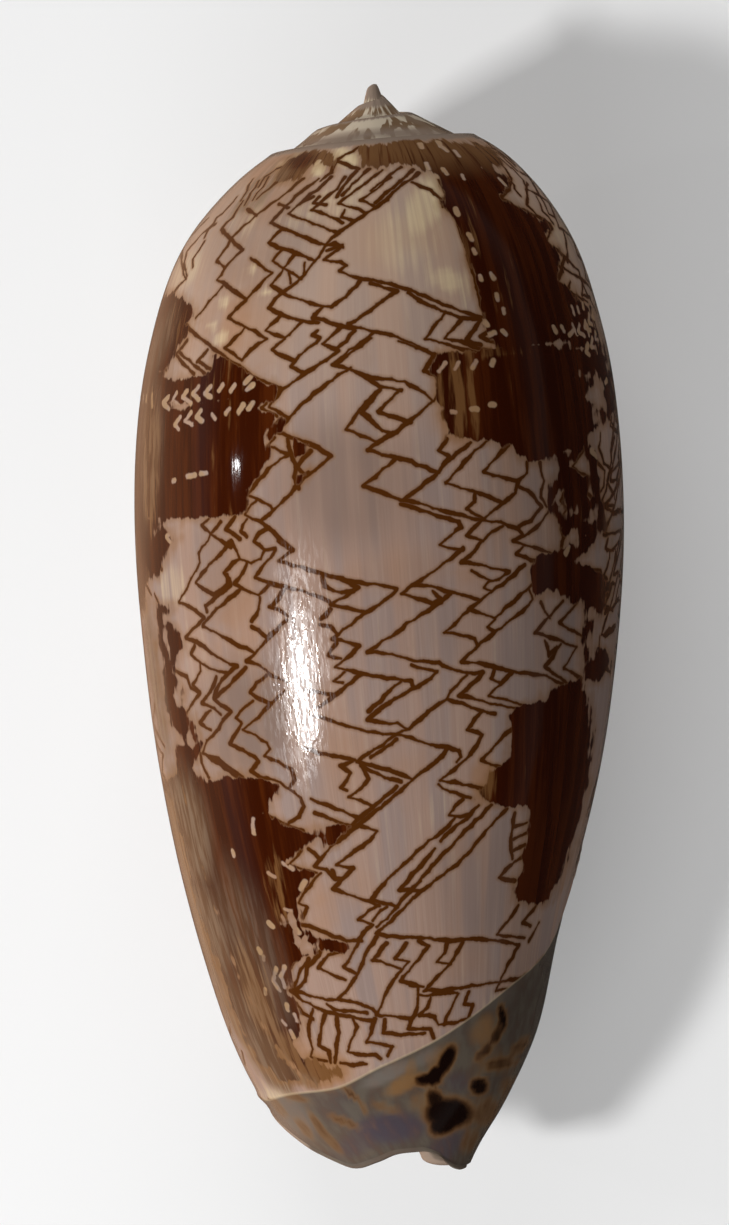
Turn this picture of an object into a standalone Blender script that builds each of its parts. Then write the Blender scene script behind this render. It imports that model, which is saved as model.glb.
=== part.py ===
# Olive shell lying on its mouth side: metres, +Z up, +Y toward the spire.
# The outer skin is one spiral ribbon wound about the coil axis. The mouth and
# the hollow behind it are part of the same loft, so the shell is one solid.
import bpy
import bmesh
import math
import numpy as np
from mathutils import Matrix, Vector

for old in list(bpy.data.objects):
    bpy.data.objects.remove(old, do_unlink=True)

# Driving dimensions. Tables are in millimetres on a 95 mm long shell.
SHELL_LENGTH = 0.095
TABLE_LENGTH = 95.0
STEP_DEG = 9.0
LIP_DEG = 225.0
HOLLOW_DEG = 297.0
HOLLOW_END_DEG = 162.0
WALL = 2.3
LIP_WALL = 2.6
EDGE_WALL = 1.1
CEILING_GAP = 1.3
FLANK_ROWS = 22
SPIRE_ROWS = 5
LIP_ROWS = 3
LIP_RECEDE_DEG = 30.0
LIP_RECEDE_FROM = 62.0
LIP_RECEDE_TO = 91.0
CEILING_BELOW = 2.4
REST_ROLL_DEG = 7.33
REST_PITCH_DEG = 5.14
REST_SINK = 0.12

# Suture channel by winding angle: bottom radius and depth below the apex.
SUTURE_DEG = (-1440, -1080, -990, -900, -810, -720, -630, -540, -450, -360, -270, -180, -90, 0, 90, 180, 225, 270)
SUTURE_RADIUS = (0, 0, 0.36, 0.58, 0.70, 0.76, 0.90, 1.15, 1.65, 2.4, 3.3, 4.5, 6.2, 7.6, 8.3, 8.6, 8.75, 8.9)
SUTURE_DEPTH = (0, 0, 0.03, 0.12, 0.40, 1.00, 1.55, 1.95, 2.4, 2.9, 3.45, 4.1, 4.85, 5.5, 5.9, 6.2, 6.35, 6.5)
RIM_OUT = (0, 0, 0.02, 0.04, 0.06, 0.1, 0.18, 0.26, 0.36, 0.45, 0.5, 0.6, 0.7, 0.8, 0.82, 0.82, 0.85, 0.9)
RIM_RISE = (0, 0, 0, 0, 0, 0, 0.06, 0.12, 0.18, 0.25, 0.32, 0.4, 0.46, 0.5, 0.52, 0.52, 0.55, 0.55)

# Radius of the outer surface below the rim: one row per winding angle.
FLANK_DEPTH = (7, 8, 10, 12, 16, 20, 24, 30, 36, 42, 48, 54, 60, 66, 72, 78, 84, 88, 91, 93, 96)
FLANK = {
    270: (12.0, 13.3, 15.7, 17.6, 20.6, 22.6, 23.9, 25.2, 25.9, 26.2, 26.3, 25.9, 25.4, 24.8, 23.8, 22.4, 20.2, 18.5,
          17.0, 16.0, 14.2),
    225: (11.9, 13.2, 15.4, 17.1, 19.7, 21.5, 22.8, 24.0, 24.7, 24.9, 24.9, 24.7, 24.2, 23.5, 22.6, 21.4, 19.6, 18.1,
          16.6, 15.4, 13.4),
    180: (11.5, 12.8, 15.0, 16.77, 19.14, 20.65, 21.8, 22.9, 23.45, 23.6, 23.45, 23.15, 22.6, 21.8, 20.7, 19.3, 17.5,
          15.7, 13.85, 12.3, 10.0),
    90: (11.4, 12.6, 14.5, 16.0, 18.1, 19.4, 20.4, 21.2, 21.5, 21.4, 21.0, 20.35, 19.4, 18.05, 16.4, 14.6, 12.5, 10.6,
         8.6, 6.9, 4.2),
    0: (11.0, 12.1, 13.8, 15.1, 16.95, 18.0, 18.75, 19.3, 19.35, 19.0, 18.25, 17.2, 15.85, 14.05, 12.0, 10.15, 8.3,
        6.1, 4.1, 2.5, 0.9),
    -90: (10.2, 11.3, 12.8, 14.0, 15.5, 16.4, 16.9, 17.3, 17.1, 16.5, 15.7, 14.5, 12.9, 11.3, 9.8, 8.3, 6.7, 5.1,
          3.8, 2.7, 1.2),
    -135: (9.7, 10.8, 12.3, 13.4, 14.8, 15.6, 16.0, 16.3, 16.0, 15.3, 14.3, 12.9, 11.2, 9.9, 8.8, 7.6, 6.2, 4.9,
           3.7, 2.8, 1.4),
    -225: (8.0, 9.2, 10.9, 12.0, 13.1, 13.7, 14.0, 14.0, 13.6, 12.8, 11.8, 10.6, 9.2, 8.2, 7.2, 6.2, 5.0, 4.0,
           3.2, 2.6, 1.6),
    -315: (7.0, 8.2, 9.8, 10.7, 11.6, 12.0, 12.1, 11.9, 11.4, 10.6, 9.7, 8.6, 7.5, 6.6, 5.8, 5.0, 4.1, 3.4, 2.9,
           2.5, 1.7),
    -450: (6.0, 7.0, 8.4, 9.1, 9.8, 10.0, 10.0, 9.7, 9.2, 8.4, 7.6, 6.8, 6.0, 5.3, 4.7, 4.1, 3.5, 3.0, 2.6, 2.3,
           1.7),
}

# Depth of the open front margin by winding angle, with the siphon notch.
MARGIN_DEG = (-450, -225, -135, -90, 0, 40, 60, 72, 82, 90, 96, 106, 118, 136, 152, 166, 180, 200, 225, 270)
MARGIN_DEPTH = (94.0, 94.0, 94.1, 94.2, 94.4, 94.6, 94.75, 94.8, 94.6, 94.1, 93.3, 92.7, 92.75, 93.5, 94.0, 93.2,
                92.0, 90.3, 88.6, 86)
TIP_DEPTH = 95.0


def smoothThrough(xs, ys, x):
    """Monotone cubic through the points, so no table value is overshot."""
    xs = np.asarray(xs, dtype=float)
    ys = np.asarray(ys, dtype=float)
    h = np.diff(xs)
    slope = np.diff(ys) / h
    tangent = np.zeros_like(ys)
    for i in range(1, len(xs) - 1):
        if slope[i - 1] * slope[i] > 0:
            a = 2 * h[i] + h[i - 1]
            b = h[i] + 2 * h[i - 1]
            tangent[i] = (a + b) / (a / slope[i - 1] + b / slope[i])
    tangent[0] = slope[0]
    tangent[-1] = slope[-1]
    x = float(min(max(x, xs[0]), xs[-1]))
    i = int(min(max(np.searchsorted(xs, x) - 1, 0), len(xs) - 2))
    t = (x - xs[i]) / h[i]
    left = (1 + 2 * t) * (1 - t) ** 2 * ys[i] + t * (1 - t) ** 2 * h[i] * tangent[i]
    right = t * t * (3 - 2 * t) * ys[i + 1] + t * t * (t - 1) * h[i] * tangent[i + 1]
    return float(left + right)


FLANK_ANGLES = sorted(FLANK)


def channel(angle):
    radius = smoothThrough(SUTURE_DEG, SUTURE_RADIUS, angle)
    depth = smoothThrough(SUTURE_DEG, SUTURE_DEPTH, angle)
    out = smoothThrough(SUTURE_DEG, RIM_OUT, angle)
    rise = smoothThrough(SUTURE_DEG, RIM_RISE, angle)
    return radius, depth, radius + out, depth - rise


def outerRadius(angle, depth):
    """Radius of the outer skin at a winding angle and a depth below the apex."""
    _, _, rimRadius, rimDepth = channel(angle)
    column = []
    for knot in FLANK_ANGLES:
        column.append(smoothThrough(FLANK_DEPTH, FLANK[knot], max(depth, 7.0)))
    radius = smoothThrough(FLANK_ANGLES, column, angle)
    if depth < 7.0:
        below = max(0.0, (depth - rimDepth) / (7.0 - rimDepth))
        radius = rimRadius + (radius - rimRadius) * below ** 0.8
    return radius


def flankDepths(start, end):
    """Depths of the flank rows, closer together at both ends."""
    depths = []
    for i in range(FLANK_ROWS + 1):
        t = i / FLANK_ROWS
        eased = 0.62 * t + 0.38 * (0.5 - 0.5 * math.cos(math.pi * t))
        depths.append(start + (end - start) * eased)
    return depths


def wallAt(angle, depth):
    """Wall measured along the radius, thinner where two whorls meet."""
    slope = (outerRadius(angle, depth + 0.5) - outerRadius(angle, depth - 0.5))
    total = outerRadius(angle, depth) - outerRadius(angle - 360, depth)
    full = WALL + (LIP_WALL - WALL) * min(1.0, max(0.0, (angle - LIP_DEG + 60) / 60))
    full = full * min(1.6, math.sqrt(1 + slope * slope))
    margin = smoothThrough(MARGIN_DEG, MARGIN_DEPTH, angle)
    near = min(1.0, max(0.0, (margin - depth) / 6.0))
    full = EDGE_WALL + (full - EDGE_WALL) * math.sqrt(near)
    share = max(0.05, 0.6 * total)
    return (full ** -4 + share ** -4) ** -0.25


def ceilingDepth(angle):
    """Depth at which the hollow has opened to its least height."""
    depth = channel(angle)[1]
    while depth < 60:
        gap = outerRadius(angle, depth) - wallAt(angle, depth) - outerRadius(angle - 360, depth)
        if gap >= CEILING_GAP:
            break
        depth += 0.25
    depth = max(depth, channel(angle)[1] + CEILING_BELOW)
    near = min(1.0, (LIP_DEG - angle) / 50.0)
    lipDepth = channel(LIP_DEG)[1]
    return lipDepth + (depth - lipDepth) * math.sin(near * math.pi / 2)


def recede(angle, depth):
    """Degrees by which the rounded front corner of the lip falls back."""
    down = min(1.0, max(0.0, (depth - LIP_RECEDE_FROM) / (LIP_RECEDE_TO - LIP_RECEDE_FROM)))
    near = min(1.0, max(0.0, (angle - 135.0) / 90.0))
    return LIP_RECEDE_DEG * down ** 2.2 * near * near


def point(angle, radius, depth):
    turn = math.radians(angle)
    return Vector((radius * math.cos(turn), -depth, radius * math.sin(turn)))


bm = bmesh.new()
startDeg = SUTURE_DEG[0]
firstBody = LIP_DEG - 360
apex = bm.verts.new(point(0, 0, 0))
turnSteps = round(360 / STEP_DEG)
columnCount = round((LIP_DEG - startDeg) / STEP_DEG)
bodyColumn = columnCount - turnSteps
lastRow = SPIRE_ROWS + FLANK_ROWS

# Outer skin. Row 0 of a column is the suture of the column one turn before.
skin = []
for c in range(columnCount + 1):
    angle = startDeg + c * STEP_DEG
    column = {}
    radius, depth, rimRadius, rimDepth = channel(angle)
    nextRadius, nextDepth, _, nextRim = channel(angle + 360)
    if c == 0:
        for row in range(SPIRE_ROWS + 1):
            column[row] = apex
        skin.append(column)
        continue
    column[0] = apex if c <= turnSteps else skin[c - turnSteps][SPIRE_ROWS]
    plain = min(1.0, max(0.0, (angle + 1080) / 360))
    body = c >= bodyColumn
    if body:
        edge = outerRadius(angle, nextDepth) if c > bodyColumn else nextRadius
    shape = {
        1: (radius + 0.55 * (rimRadius - radius), depth - 0.8 * (depth - rimDepth)),
        2: (rimRadius, rimDepth),
    }
    inner = nextRadius - 0.55 * min(1.0, nextRadius / 5)
    innerDepth = nextRim + 0.02
    shape[4] = (inner, innerDepth)
    shape[3] = (0.5 * (rimRadius + inner), 0.5 * (rimDepth + innerDepth) - 0.05)
    shape[5] = (nextRadius, nextDepth)
    for row in range(1, SPIRE_ROWS + 1):
        share = row / SPIRE_ROWS
        even = (radius + share * (nextRadius - radius), depth + share ** 1.5 * (nextDepth - depth))
        made = shape[row]
        place = tuple(even[k] + plain * (made[k] - even[k]) for k in range(2))
        if body and row > 2:
            down = channel(angle + 360)[1] if angle + 360 <= 270 else 6.5 + (angle + 360 - 270) * 0.012
            level = rimDepth + (down - rimDepth) * (0, 0, 0, 0.3, 0.62, 1.0)[row]
            smooth = (outerRadius(angle, level), level)
            fade = min(1.0, (angle - firstBody) / 45)
            place = tuple(place[k] + fade * (smooth[k] - place[k]) for k in range(2))
        column[row] = bm.verts.new(point(angle, place[0], place[1]))
    if body:
        margin = smoothThrough(MARGIN_DEG, MARGIN_DEPTH, angle)
        top = -column[SPIRE_ROWS].co.y
        for i, level in enumerate(flankDepths(top, margin)):
            if i > 0:
                turned = angle - recede(angle, level)
                place = point(turned, outerRadius(turned, level), level)
                column[SPIRE_ROWS + i] = bm.verts.new(place)
    skin.append(column)


def face(*corners):
    kept = []
    for corner in corners:
        if corner not in kept:
            kept.append(corner)
    if len(kept) >= 3:
        bm.faces.new(kept)


for c in range(columnCount):
    rows = lastRow if c >= bodyColumn else SPIRE_ROWS
    for row in range(rows):
        face(skin[c][row], skin[c][row + 1], skin[c + 1][row + 1], skin[c + 1][row])

# Lip edge, turned from the outer skin to the inner wall.
suturePoint = skin[bodyColumn][SPIRE_ROWS]
lipOuter = skin[columnCount]
lipColumns = [lipOuter]
for k in range(1, LIP_ROWS + 1):
    column = {0: lipOuter[0]}
    bend = math.pi * k / LIP_ROWS
    for row in range(1, lastRow + 1):
        depth = -lipOuter[row].co.y
        radius = math.hypot(lipOuter[row].co.x, lipOuter[row].co.z)
        wall = wallAt(LIP_DEG, depth)
        ahead = math.degrees(0.42 * wall * math.sin(bend) / radius) - recede(LIP_DEG, depth)
        column[row] = bm.verts.new(point(LIP_DEG + ahead, radius - wall * (0.5 - 0.5 * math.cos(bend)), depth))
    lipColumns.append(column)
for k in range(LIP_ROWS):
    for row in range(lastRow):
        face(lipColumns[k][row], lipColumns[k][row + 1], lipColumns[k + 1][row + 1], lipColumns[k + 1][row])

# Hollow: its outer wall follows the skin, its inner wall is the whorl before.
hollowColumns = round(HOLLOW_DEG / STEP_DEG)
outerWall = [lipColumns[-1]]
innerWall = [skin[bodyColumn]]
for c in range(1, hollowColumns + 1):
    outer = {}
    inner = {}
    share = c / hollowColumns
    nominal = LIP_DEG - HOLLOW_DEG * share
    top = ceilingDepth(nominal)
    for row in range(lastRow + 1):
        t = row / lastRow
        turn = HOLLOW_DEG + (HOLLOW_END_DEG - HOLLOW_DEG) * max(0.0, (t - 0.62) / 0.38) ** 1.3
        angle = LIP_DEG - turn * share
        end = smoothThrough(MARGIN_DEG, MARGIN_DEPTH, angle)
        eased = 0.62 * t + 0.38 * (0.5 - 0.5 * math.cos(math.pi * t))
        depth = top + (end - top) * eased
        angle -= recede(angle, depth)
        outer[row] = bm.verts.new(point(angle, outerRadius(angle, depth) - wallAt(angle, depth), depth))
    for i in range(FLANK_ROWS + 1):
        t = i / FLANK_ROWS
        turn = HOLLOW_DEG + (HOLLOW_END_DEG - HOLLOW_DEG) * max(0.0, (t - 0.62) / 0.38) ** 1.3
        angle = firstBody - turn * share
        end = smoothThrough(MARGIN_DEG, MARGIN_DEPTH, angle)
        eased = 0.62 * t + 0.38 * (0.5 - 0.5 * math.cos(math.pi * t))
        depth = top + (end - top) * eased
        inner[SPIRE_ROWS + i] = bm.verts.new(point(angle, outerRadius(angle, depth), depth))
    outerWall.append(outer)
    innerWall.append(inner)
for c in range(hollowColumns):
    for row in range(lastRow):
        face(outerWall[c][row], outerWall[c][row + 1], outerWall[c + 1][row + 1], outerWall[c + 1][row])
    for row in range(SPIRE_ROWS, lastRow):
        face(innerWall[c + 1][row], innerWall[c + 1][row + 1], innerWall[c][row + 1], innerWall[c][row])
    face(outerWall[c][0], outerWall[c + 1][0], innerWall[c + 1][SPIRE_ROWS], innerWall[c][SPIRE_ROWS])


def stitch(first, second):
    """Triangles between two runs of points, always closing the shorter diagonal."""
    i = 0
    j = 0
    while i < len(first) - 1 or j < len(second) - 1:
        if j == len(second) - 1:
            stepFirst = True
        elif i == len(first) - 1:
            stepFirst = False
        else:
            ahead = (first[i + 1].co - second[j].co).length
            stepFirst = ahead <= (second[j + 1].co - first[i].co).length
        if stepFirst:
            face(first[i], first[i + 1], second[j])
            i += 1
        else:
            face(first[i], second[j + 1], second[j])
            j += 1


deepOuter = [outerWall[-1][row] for row in range(lastRow + 1)]
deepInner = [innerWall[-1][row] for row in range(SPIRE_ROWS, lastRow + 1)]
stitch(deepOuter, deepInner)

# Front margin: the wall end as a narrow strip, then the tip of the columella.
rootColumn = columnCount - round(HOLLOW_END_DEG / STEP_DEG)
marginOuter = [skin[c][lastRow] for c in range(columnCount, rootColumn - 1, -1)]
marginInner = [column[lastRow] for column in outerWall]
lipEnd = [column[lastRow] for column in lipColumns]
middle = len(lipEnd) // 2
marginOuter = list(reversed(lipEnd[:middle + 1])) + marginOuter[1:]
marginInner = lipEnd[middle:] + marginInner[1:]
stitch(marginInner, marginOuter)
ring = [column[lastRow] for column in reversed(innerWall)]
ring += [skin[c][lastRow] for c in range(bodyColumn + 1, rootColumn + 1)]
ring.append(marginInner[-1])
tip = bm.verts.new(point(0, 0, TIP_DEPTH))
inward = []
for corner in ring:
    share = 0.45
    place = corner.co.lerp(tip.co, share)
    place.y = corner.co.y + (tip.co.y - corner.co.y) * 0.8
    inward.append(bm.verts.new(place))
for i in range(len(ring)):
    k = (i + 1) % len(ring)
    face(ring[i], ring[k], inward[k], inward[i])
    face(inward[i], inward[k], tip)

bmesh.ops.triangulate(bm, faces=[f for f in bm.faces if len(f.verts) > 3])
bmesh.ops.recalc_face_normals(bm, faces=bm.faces)

# Lay it down, bring it to size and stand its lowest spots on the ground.
scale = SHELL_LENGTH / TABLE_LENGTH
lay = Matrix.Rotation(math.radians(REST_PITCH_DEG), 4, "X") @ Matrix.Rotation(math.radians(REST_ROLL_DEG), 4, "Y")
bmesh.ops.transform(bm, matrix=Matrix.Scale(scale, 4) @ lay, verts=bm.verts)
low = min(v.co.z for v in bm.verts)
xs = [v.co.x for v in bm.verts]
ys = [v.co.y for v in bm.verts]
shift = Vector(((min(xs) + max(xs)) / 2, (min(ys) + max(ys)) / 2, low + REST_SINK * scale))
for v in bm.verts:
    v.co -= shift
    v.co.z = max(v.co.z, 0.0)

mesh = bpy.data.meshes.new("shell")
bm.to_mesh(mesh)
bm.free()
shell = bpy.data.objects.new("shell", mesh)
home = bpy.data.collections.new("olive_shell")
bpy.context.scene.collection.children.link(home)
home.objects.link(shell)

enamel = bpy.data.materials.new("enamel")
enamel.use_nodes = True
enamel.node_tree.nodes["Principled BSDF"].inputs["Base Color"].default_value = (0.36, 0.25, 0.20, 1.0)
enamel.node_tree.nodes["Principled BSDF"].inputs["Roughness"].default_value = 0.22
shell.data.materials.append(enamel)
print("shell faces", len(mesh.polygons), "size", tuple(round(v * 1000, 2) for v in shell.dimensions))
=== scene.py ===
import math
import random
import bpy
import numpy as np
from mathutils import Matrix, Vector
from mathutils.bvhtree import BVHTree
from mathutils.kdtree import KDTree


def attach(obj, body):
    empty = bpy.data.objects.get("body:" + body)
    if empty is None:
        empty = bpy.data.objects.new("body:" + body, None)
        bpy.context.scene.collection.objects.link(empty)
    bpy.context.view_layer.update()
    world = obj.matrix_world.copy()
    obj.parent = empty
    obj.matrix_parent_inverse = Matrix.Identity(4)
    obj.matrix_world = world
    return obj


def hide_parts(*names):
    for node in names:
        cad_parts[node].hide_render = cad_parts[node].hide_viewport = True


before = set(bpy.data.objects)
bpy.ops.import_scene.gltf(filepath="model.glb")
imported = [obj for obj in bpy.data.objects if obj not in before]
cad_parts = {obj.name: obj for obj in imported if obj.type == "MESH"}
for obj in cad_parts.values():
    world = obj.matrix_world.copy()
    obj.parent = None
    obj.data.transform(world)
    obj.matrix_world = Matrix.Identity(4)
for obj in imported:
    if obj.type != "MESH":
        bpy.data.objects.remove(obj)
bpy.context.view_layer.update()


# The form of the shell, in millimetres on a 95 mm long shell.
# Angles wind about the coil axis: 0 right, 90 back, 180 left, 225 lip.
shellForm = {
    "stepDeg": 1.5,
    "apexDeg": -1440.0,
    "lipDeg": 225.0,
    "hollowDeg": 297.0,
    "hollowEndDeg": 162.0,
    "hollowColumns": 108,
    "spireRows": 14,
    "flankRows": 150,
    "lipColumns": 8,
    "tipRings": 10,
    "shoulderDepth": 9.0,
    "shoulderProbe": 0.5,
    "shoulderPush": 1.8,
    "wall": 2.3,
    "lipWall": 2.6,
    "lipWallDeg": 60,
    "wallLean": 1.6,
    "edgeReach": 6.0,
    "edgeWall": 1.1,
    "edgeBulge": 0.42,
    "archRise": 0.4,
    "ceilingGap": 1.3,
    "ceilingBelow": 2.4,
    "rowEase": 0.38,
    "recedeStartDeg": 135.0,
    "recedePower": 2.2,
    "recedeDeg": 30.0,
    "recedeFrom": 62.0,
    "recedeTo": 91.0,
    "frontThick": 1.6,
    "tipDepth": 95.0,
    "restRollDeg": 7.33,
    "restPitchDeg": 5.14,
    "restShift": (-2.1421, -47.3841, -20.3608),
    "sutureDeg": (-1440, -1092, -1080, -990, -900, -810, -720, -630, -540, -450, -360, -270, -180, -90, 0, 90, 180,
                  225, 270),
    "sutureRadius": (0, 0, 0.20, 0.33, 0.46, 0.56, 0.65, 0.82, 1.12, 1.65, 2.4, 3.3, 4.5, 6.2, 7.6, 8.3, 8.6, 8.75,
                     8.9),
    "sutureDepth": (0, 0, 0.02, 0.09, 0.26, 0.60, 1.08, 1.55, 1.95, 2.4, 2.9, 3.45, 4.1, 4.85, 5.5, 5.9, 6.2, 6.35,
                    6.5),
    "rimOut": (0, 0, 0, 0.02, 0.04, 0.06, 0.1, 0.18, 0.26, 0.36, 0.45, 0.5, 0.6, 0.7, 0.8, 0.82, 0.82, 0.85, 0.9),
    "rimRise": (0, 0, 0, 0, 0, 0, 0, 0.06, 0.12, 0.18, 0.25, 0.32, 0.4, 0.46, 0.5, 0.52, 0.52, 0.55, 0.55),
    "flankDepth": (7, 8, 10, 12, 16, 20, 24, 30, 36, 42, 48, 54, 60, 66, 72, 78, 84, 88, 91, 93, 96),
    "flankRadius": {
        270: (12.0, 13.3, 15.7, 17.6, 20.6, 22.6, 23.9, 25.2, 25.9, 26.2, 26.3, 25.9, 25.4, 24.8, 23.8, 22.4, 20.2,
              18.5, 17.0, 16.0, 14.2),
        225: (11.9, 13.2, 15.4, 17.1, 19.7, 21.5, 22.8, 24.0, 24.7, 24.9, 24.9, 24.7, 24.2, 23.5, 22.6, 21.4, 19.6,
              18.1, 16.6, 15.4, 13.4),
        180: (11.5, 12.8, 15.0, 16.77, 19.14, 20.65, 21.8, 22.9, 23.45, 23.6, 23.45, 23.15, 22.6, 21.8, 20.7, 19.3,
              17.5, 15.7, 13.85, 12.3, 10.0),
        90: (11.4, 12.6, 14.5, 16.0, 18.1, 19.4, 20.4, 21.2, 21.5, 21.4, 21.0, 20.35, 19.4, 18.05, 16.4, 14.6, 12.5,
             10.6, 8.6, 6.9, 4.2),
        0: (11.0, 12.1, 13.8, 15.1, 16.95, 18.0, 18.75, 19.3, 19.35, 19.0, 18.25, 17.2, 15.85, 14.05, 12.0, 10.15,
            8.3, 6.1, 4.1, 2.5, 0.9),
        -90: (10.2, 11.3, 12.8, 14.0, 15.5, 16.4, 16.9, 17.3, 17.1, 16.5, 15.7, 14.5, 12.9, 11.3, 9.8, 8.3, 6.7, 5.1,
              3.8, 2.7, 1.2),
        -135: (9.7, 10.8, 12.3, 13.4, 14.8, 15.6, 16.0, 16.3, 16.0, 15.3, 14.3, 12.9, 11.2, 9.9, 8.8, 7.6, 6.2, 4.9,
               3.7, 2.8, 1.4),
        -225: (8.0, 9.2, 10.9, 12.0, 13.1, 13.7, 14.0, 14.0, 13.6, 12.8, 11.8, 10.6, 9.2, 8.2, 7.2, 6.2, 5.0, 4.0,
               3.2, 2.6, 1.6),
        -315: (7.0, 8.2, 9.8, 10.7, 11.6, 12.0, 12.1, 11.9, 11.4, 10.6, 9.7, 8.6, 7.5, 6.6, 5.8, 5.0, 4.1, 3.4, 2.9,
               2.5, 1.7),
        -450: (6.0, 7.0, 8.4, 9.1, 9.8, 10.0, 10.0, 9.7, 9.2, 8.4, 7.6, 6.8, 6.0, 5.3, 4.7, 4.1, 3.5, 3.0, 2.6, 2.3,
               1.7),
    },
    "marginDeg": (-450, -225, -135, -90, 0, 40, 60, 72, 82, 90, 96, 106, 118, 136, 152, 166, 180, 200, 225, 270),
    "marginDepth": (94.0, 94.0, 94.1, 94.2, 94.4, 94.6, 94.75, 94.8, 94.6, 94.1, 93.3, 92.7, 92.75, 93.5, 94.0, 93.2,
                    92.0, 90.3, 88.6, 86),
    "bandDeg": (-450, -135, -90, -45, 0, 18, 29, 62.5, 92, 112.6, 134, 153, 180, 225),
    "bandDepth": (44, 49, 53, 59, 66.7, 71.2, 75.1, 79.5, 83.3, 85.2, 87.0, 87.4, 88.2, 87.6),
    "bandStep": 0.16,
    "bandRidge": 0.13,
    "bandRidges": ((-0.15, 0.35, 1.0), (4.2, 0.6, 0.5)),
    "foldHeight": 0.28,
    "foldDeg": -4,
    "foldWidthDeg": 16,
    "foldDepths": (24, 34, 84, 90),
    "foldSlant": 0.10,
    "foldPitch": 3.4,
    "foldNarrowing": 0.016,
}


def smoothThrough(xs, table, x):
    # Monotone cubic through the points; table is one row per value of xs.
    xs = np.asarray(xs, float)
    table = np.asarray(table, float)
    x = np.asarray(x, float)
    if table.ndim == 1:
        table = np.repeat(table[:, None], x.size, axis=1)
    h = np.diff(xs)[:, None]
    slope = np.diff(table, axis=0) / h
    tangent = np.zeros_like(table)
    a = 2 * h[1:] + h[:-1]
    b = h[1:] + 2 * h[:-1]
    steady = slope[:-1] * slope[1:] > 0
    safe = np.where(steady, slope[:-1], 1.0), np.where(steady, slope[1:], 1.0)
    tangent[1:-1] = np.where(steady, (a + b) / (a / safe[0] + b / safe[1]), 0.0)
    tangent[0] = slope[0]
    tangent[-1] = slope[-1]
    flat = np.clip(x.ravel(), xs[0], xs[-1])
    i = np.clip(np.searchsorted(xs, flat) - 1, 0, len(xs) - 2)
    n = np.arange(flat.size)
    hi = h[i, 0]
    t = (flat - xs[i]) / hi
    low = (1 + 2 * t) * (1 - t) ** 2 * table[i, n] + t * (1 - t) ** 2 * hi * tangent[i, n]
    high = t * t * (3 - 2 * t) * table[i + 1, n] + t * t * (t - 1) * hi * tangent[i + 1, n]
    return (low + high).reshape(x.shape)


def channelAt(angle):
    deg = shellForm["sutureDeg"]
    radius = smoothThrough(deg, shellForm["sutureRadius"], angle)
    depth = smoothThrough(deg, shellForm["sutureDepth"], angle)
    rimRadius = radius + smoothThrough(deg, shellForm["rimOut"], angle)
    rimDepth = depth - smoothThrough(deg, shellForm["rimRise"], angle)
    return radius, depth, rimRadius, rimDepth


def evenCurve(xs, table, x):
    # Natural cubic through the points, for the smoothest flank.
    xs = np.asarray(xs, float)
    table = np.asarray(table, float)
    if table.ndim == 1:
        table = np.repeat(table[:, None], x.size, axis=1)
    h = np.diff(xs)
    count = len(xs)
    system = np.eye(count)
    goal = np.zeros_like(table)
    for i in range(1, count - 1):
        system[i, i - 1:i + 2] = (h[i - 1], 2 * (h[i - 1] + h[i]), h[i])
        goal[i] = 6 * ((table[i + 1] - table[i]) / h[i] - (table[i] - table[i - 1]) / h[i - 1])
    bend = np.linalg.solve(system, goal)
    x = np.clip(x, xs[0], xs[-1])
    i = np.clip(np.searchsorted(xs, x) - 1, 0, count - 2)
    n = np.arange(x.size)
    a = (xs[i + 1] - x) / h[i]
    b = 1 - a
    curl = ((a ** 3 - a) * bend[i, n] + (b ** 3 - b) * bend[i + 1, n]) * h[i] ** 2 / 6
    return a * table[i, n] + b * table[i + 1, n] + curl


def plainRadius(angle, depth):
    shape = depth.shape
    angle = angle.ravel()
    depth = depth.ravel()
    knots = sorted(shellForm["flankRadius"])
    columns = [evenCurve(shellForm["flankDepth"], shellForm["flankRadius"][k], depth) for k in knots]
    return evenCurve(knots, np.array(columns), angle).reshape(shape)


def outerRadius(angle, depth):
    # Radius of the outer skin; above its foot one smooth shoulder leads up to the rim.
    angle, depth = np.broadcast_arrays(np.asarray(angle, float), np.asarray(depth, float))
    foot = shellForm["shoulderDepth"]
    probe = shellForm["shoulderProbe"]
    radius = plainRadius(angle, np.maximum(depth, foot))
    ahead = plainRadius(angle, np.full(depth.shape, foot + probe))
    _, _, rimRadius, rimDepth = channelAt(angle)
    span = foot - rimDepth
    t = np.clip((depth - rimDepth) / span, 0.0, 1.0)
    low = (1 + 2 * t) * (1 - t) ** 2 * rimRadius + t * (1 - t) ** 2 * span * shellForm["shoulderPush"]
    base = plainRadius(angle, np.full(depth.shape, foot))
    high = t * t * (3 - 2 * t) * base + t * t * (t - 1) * span * (ahead - base) / probe
    return np.where(depth < foot, low + high, radius)


def marginAt(angle):
    return smoothThrough(shellForm["marginDeg"], shellForm["marginDepth"], angle)


def bandAt(angle):
    return smoothThrough(shellForm["bandDeg"], shellForm["bandDepth"], angle)


def eased(t):
    # Rows stand a little closer towards both ends.
    ease = shellForm["rowEase"]
    return (1 - ease) * t + ease * (0.5 - 0.5 * np.cos(np.pi * t))


def softStep(low, high, x):
    t = np.clip((x - low) / (high - low), 0.0, 1.0)
    return t * t * (3 - 2 * t)


def recedeAt(angle, depth):
    # Degrees by which the rounded front corner of the lip falls back.
    down = np.clip((depth - shellForm["recedeFrom"]) / (shellForm["recedeTo"] - shellForm["recedeFrom"]), 0, 1)
    near = np.clip((angle - shellForm["recedeStartDeg"]) / (shellForm["lipDeg"] - shellForm["recedeStartDeg"]), 0, 1)
    return shellForm["recedeDeg"] * down ** shellForm["recedePower"] * near * near


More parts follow.
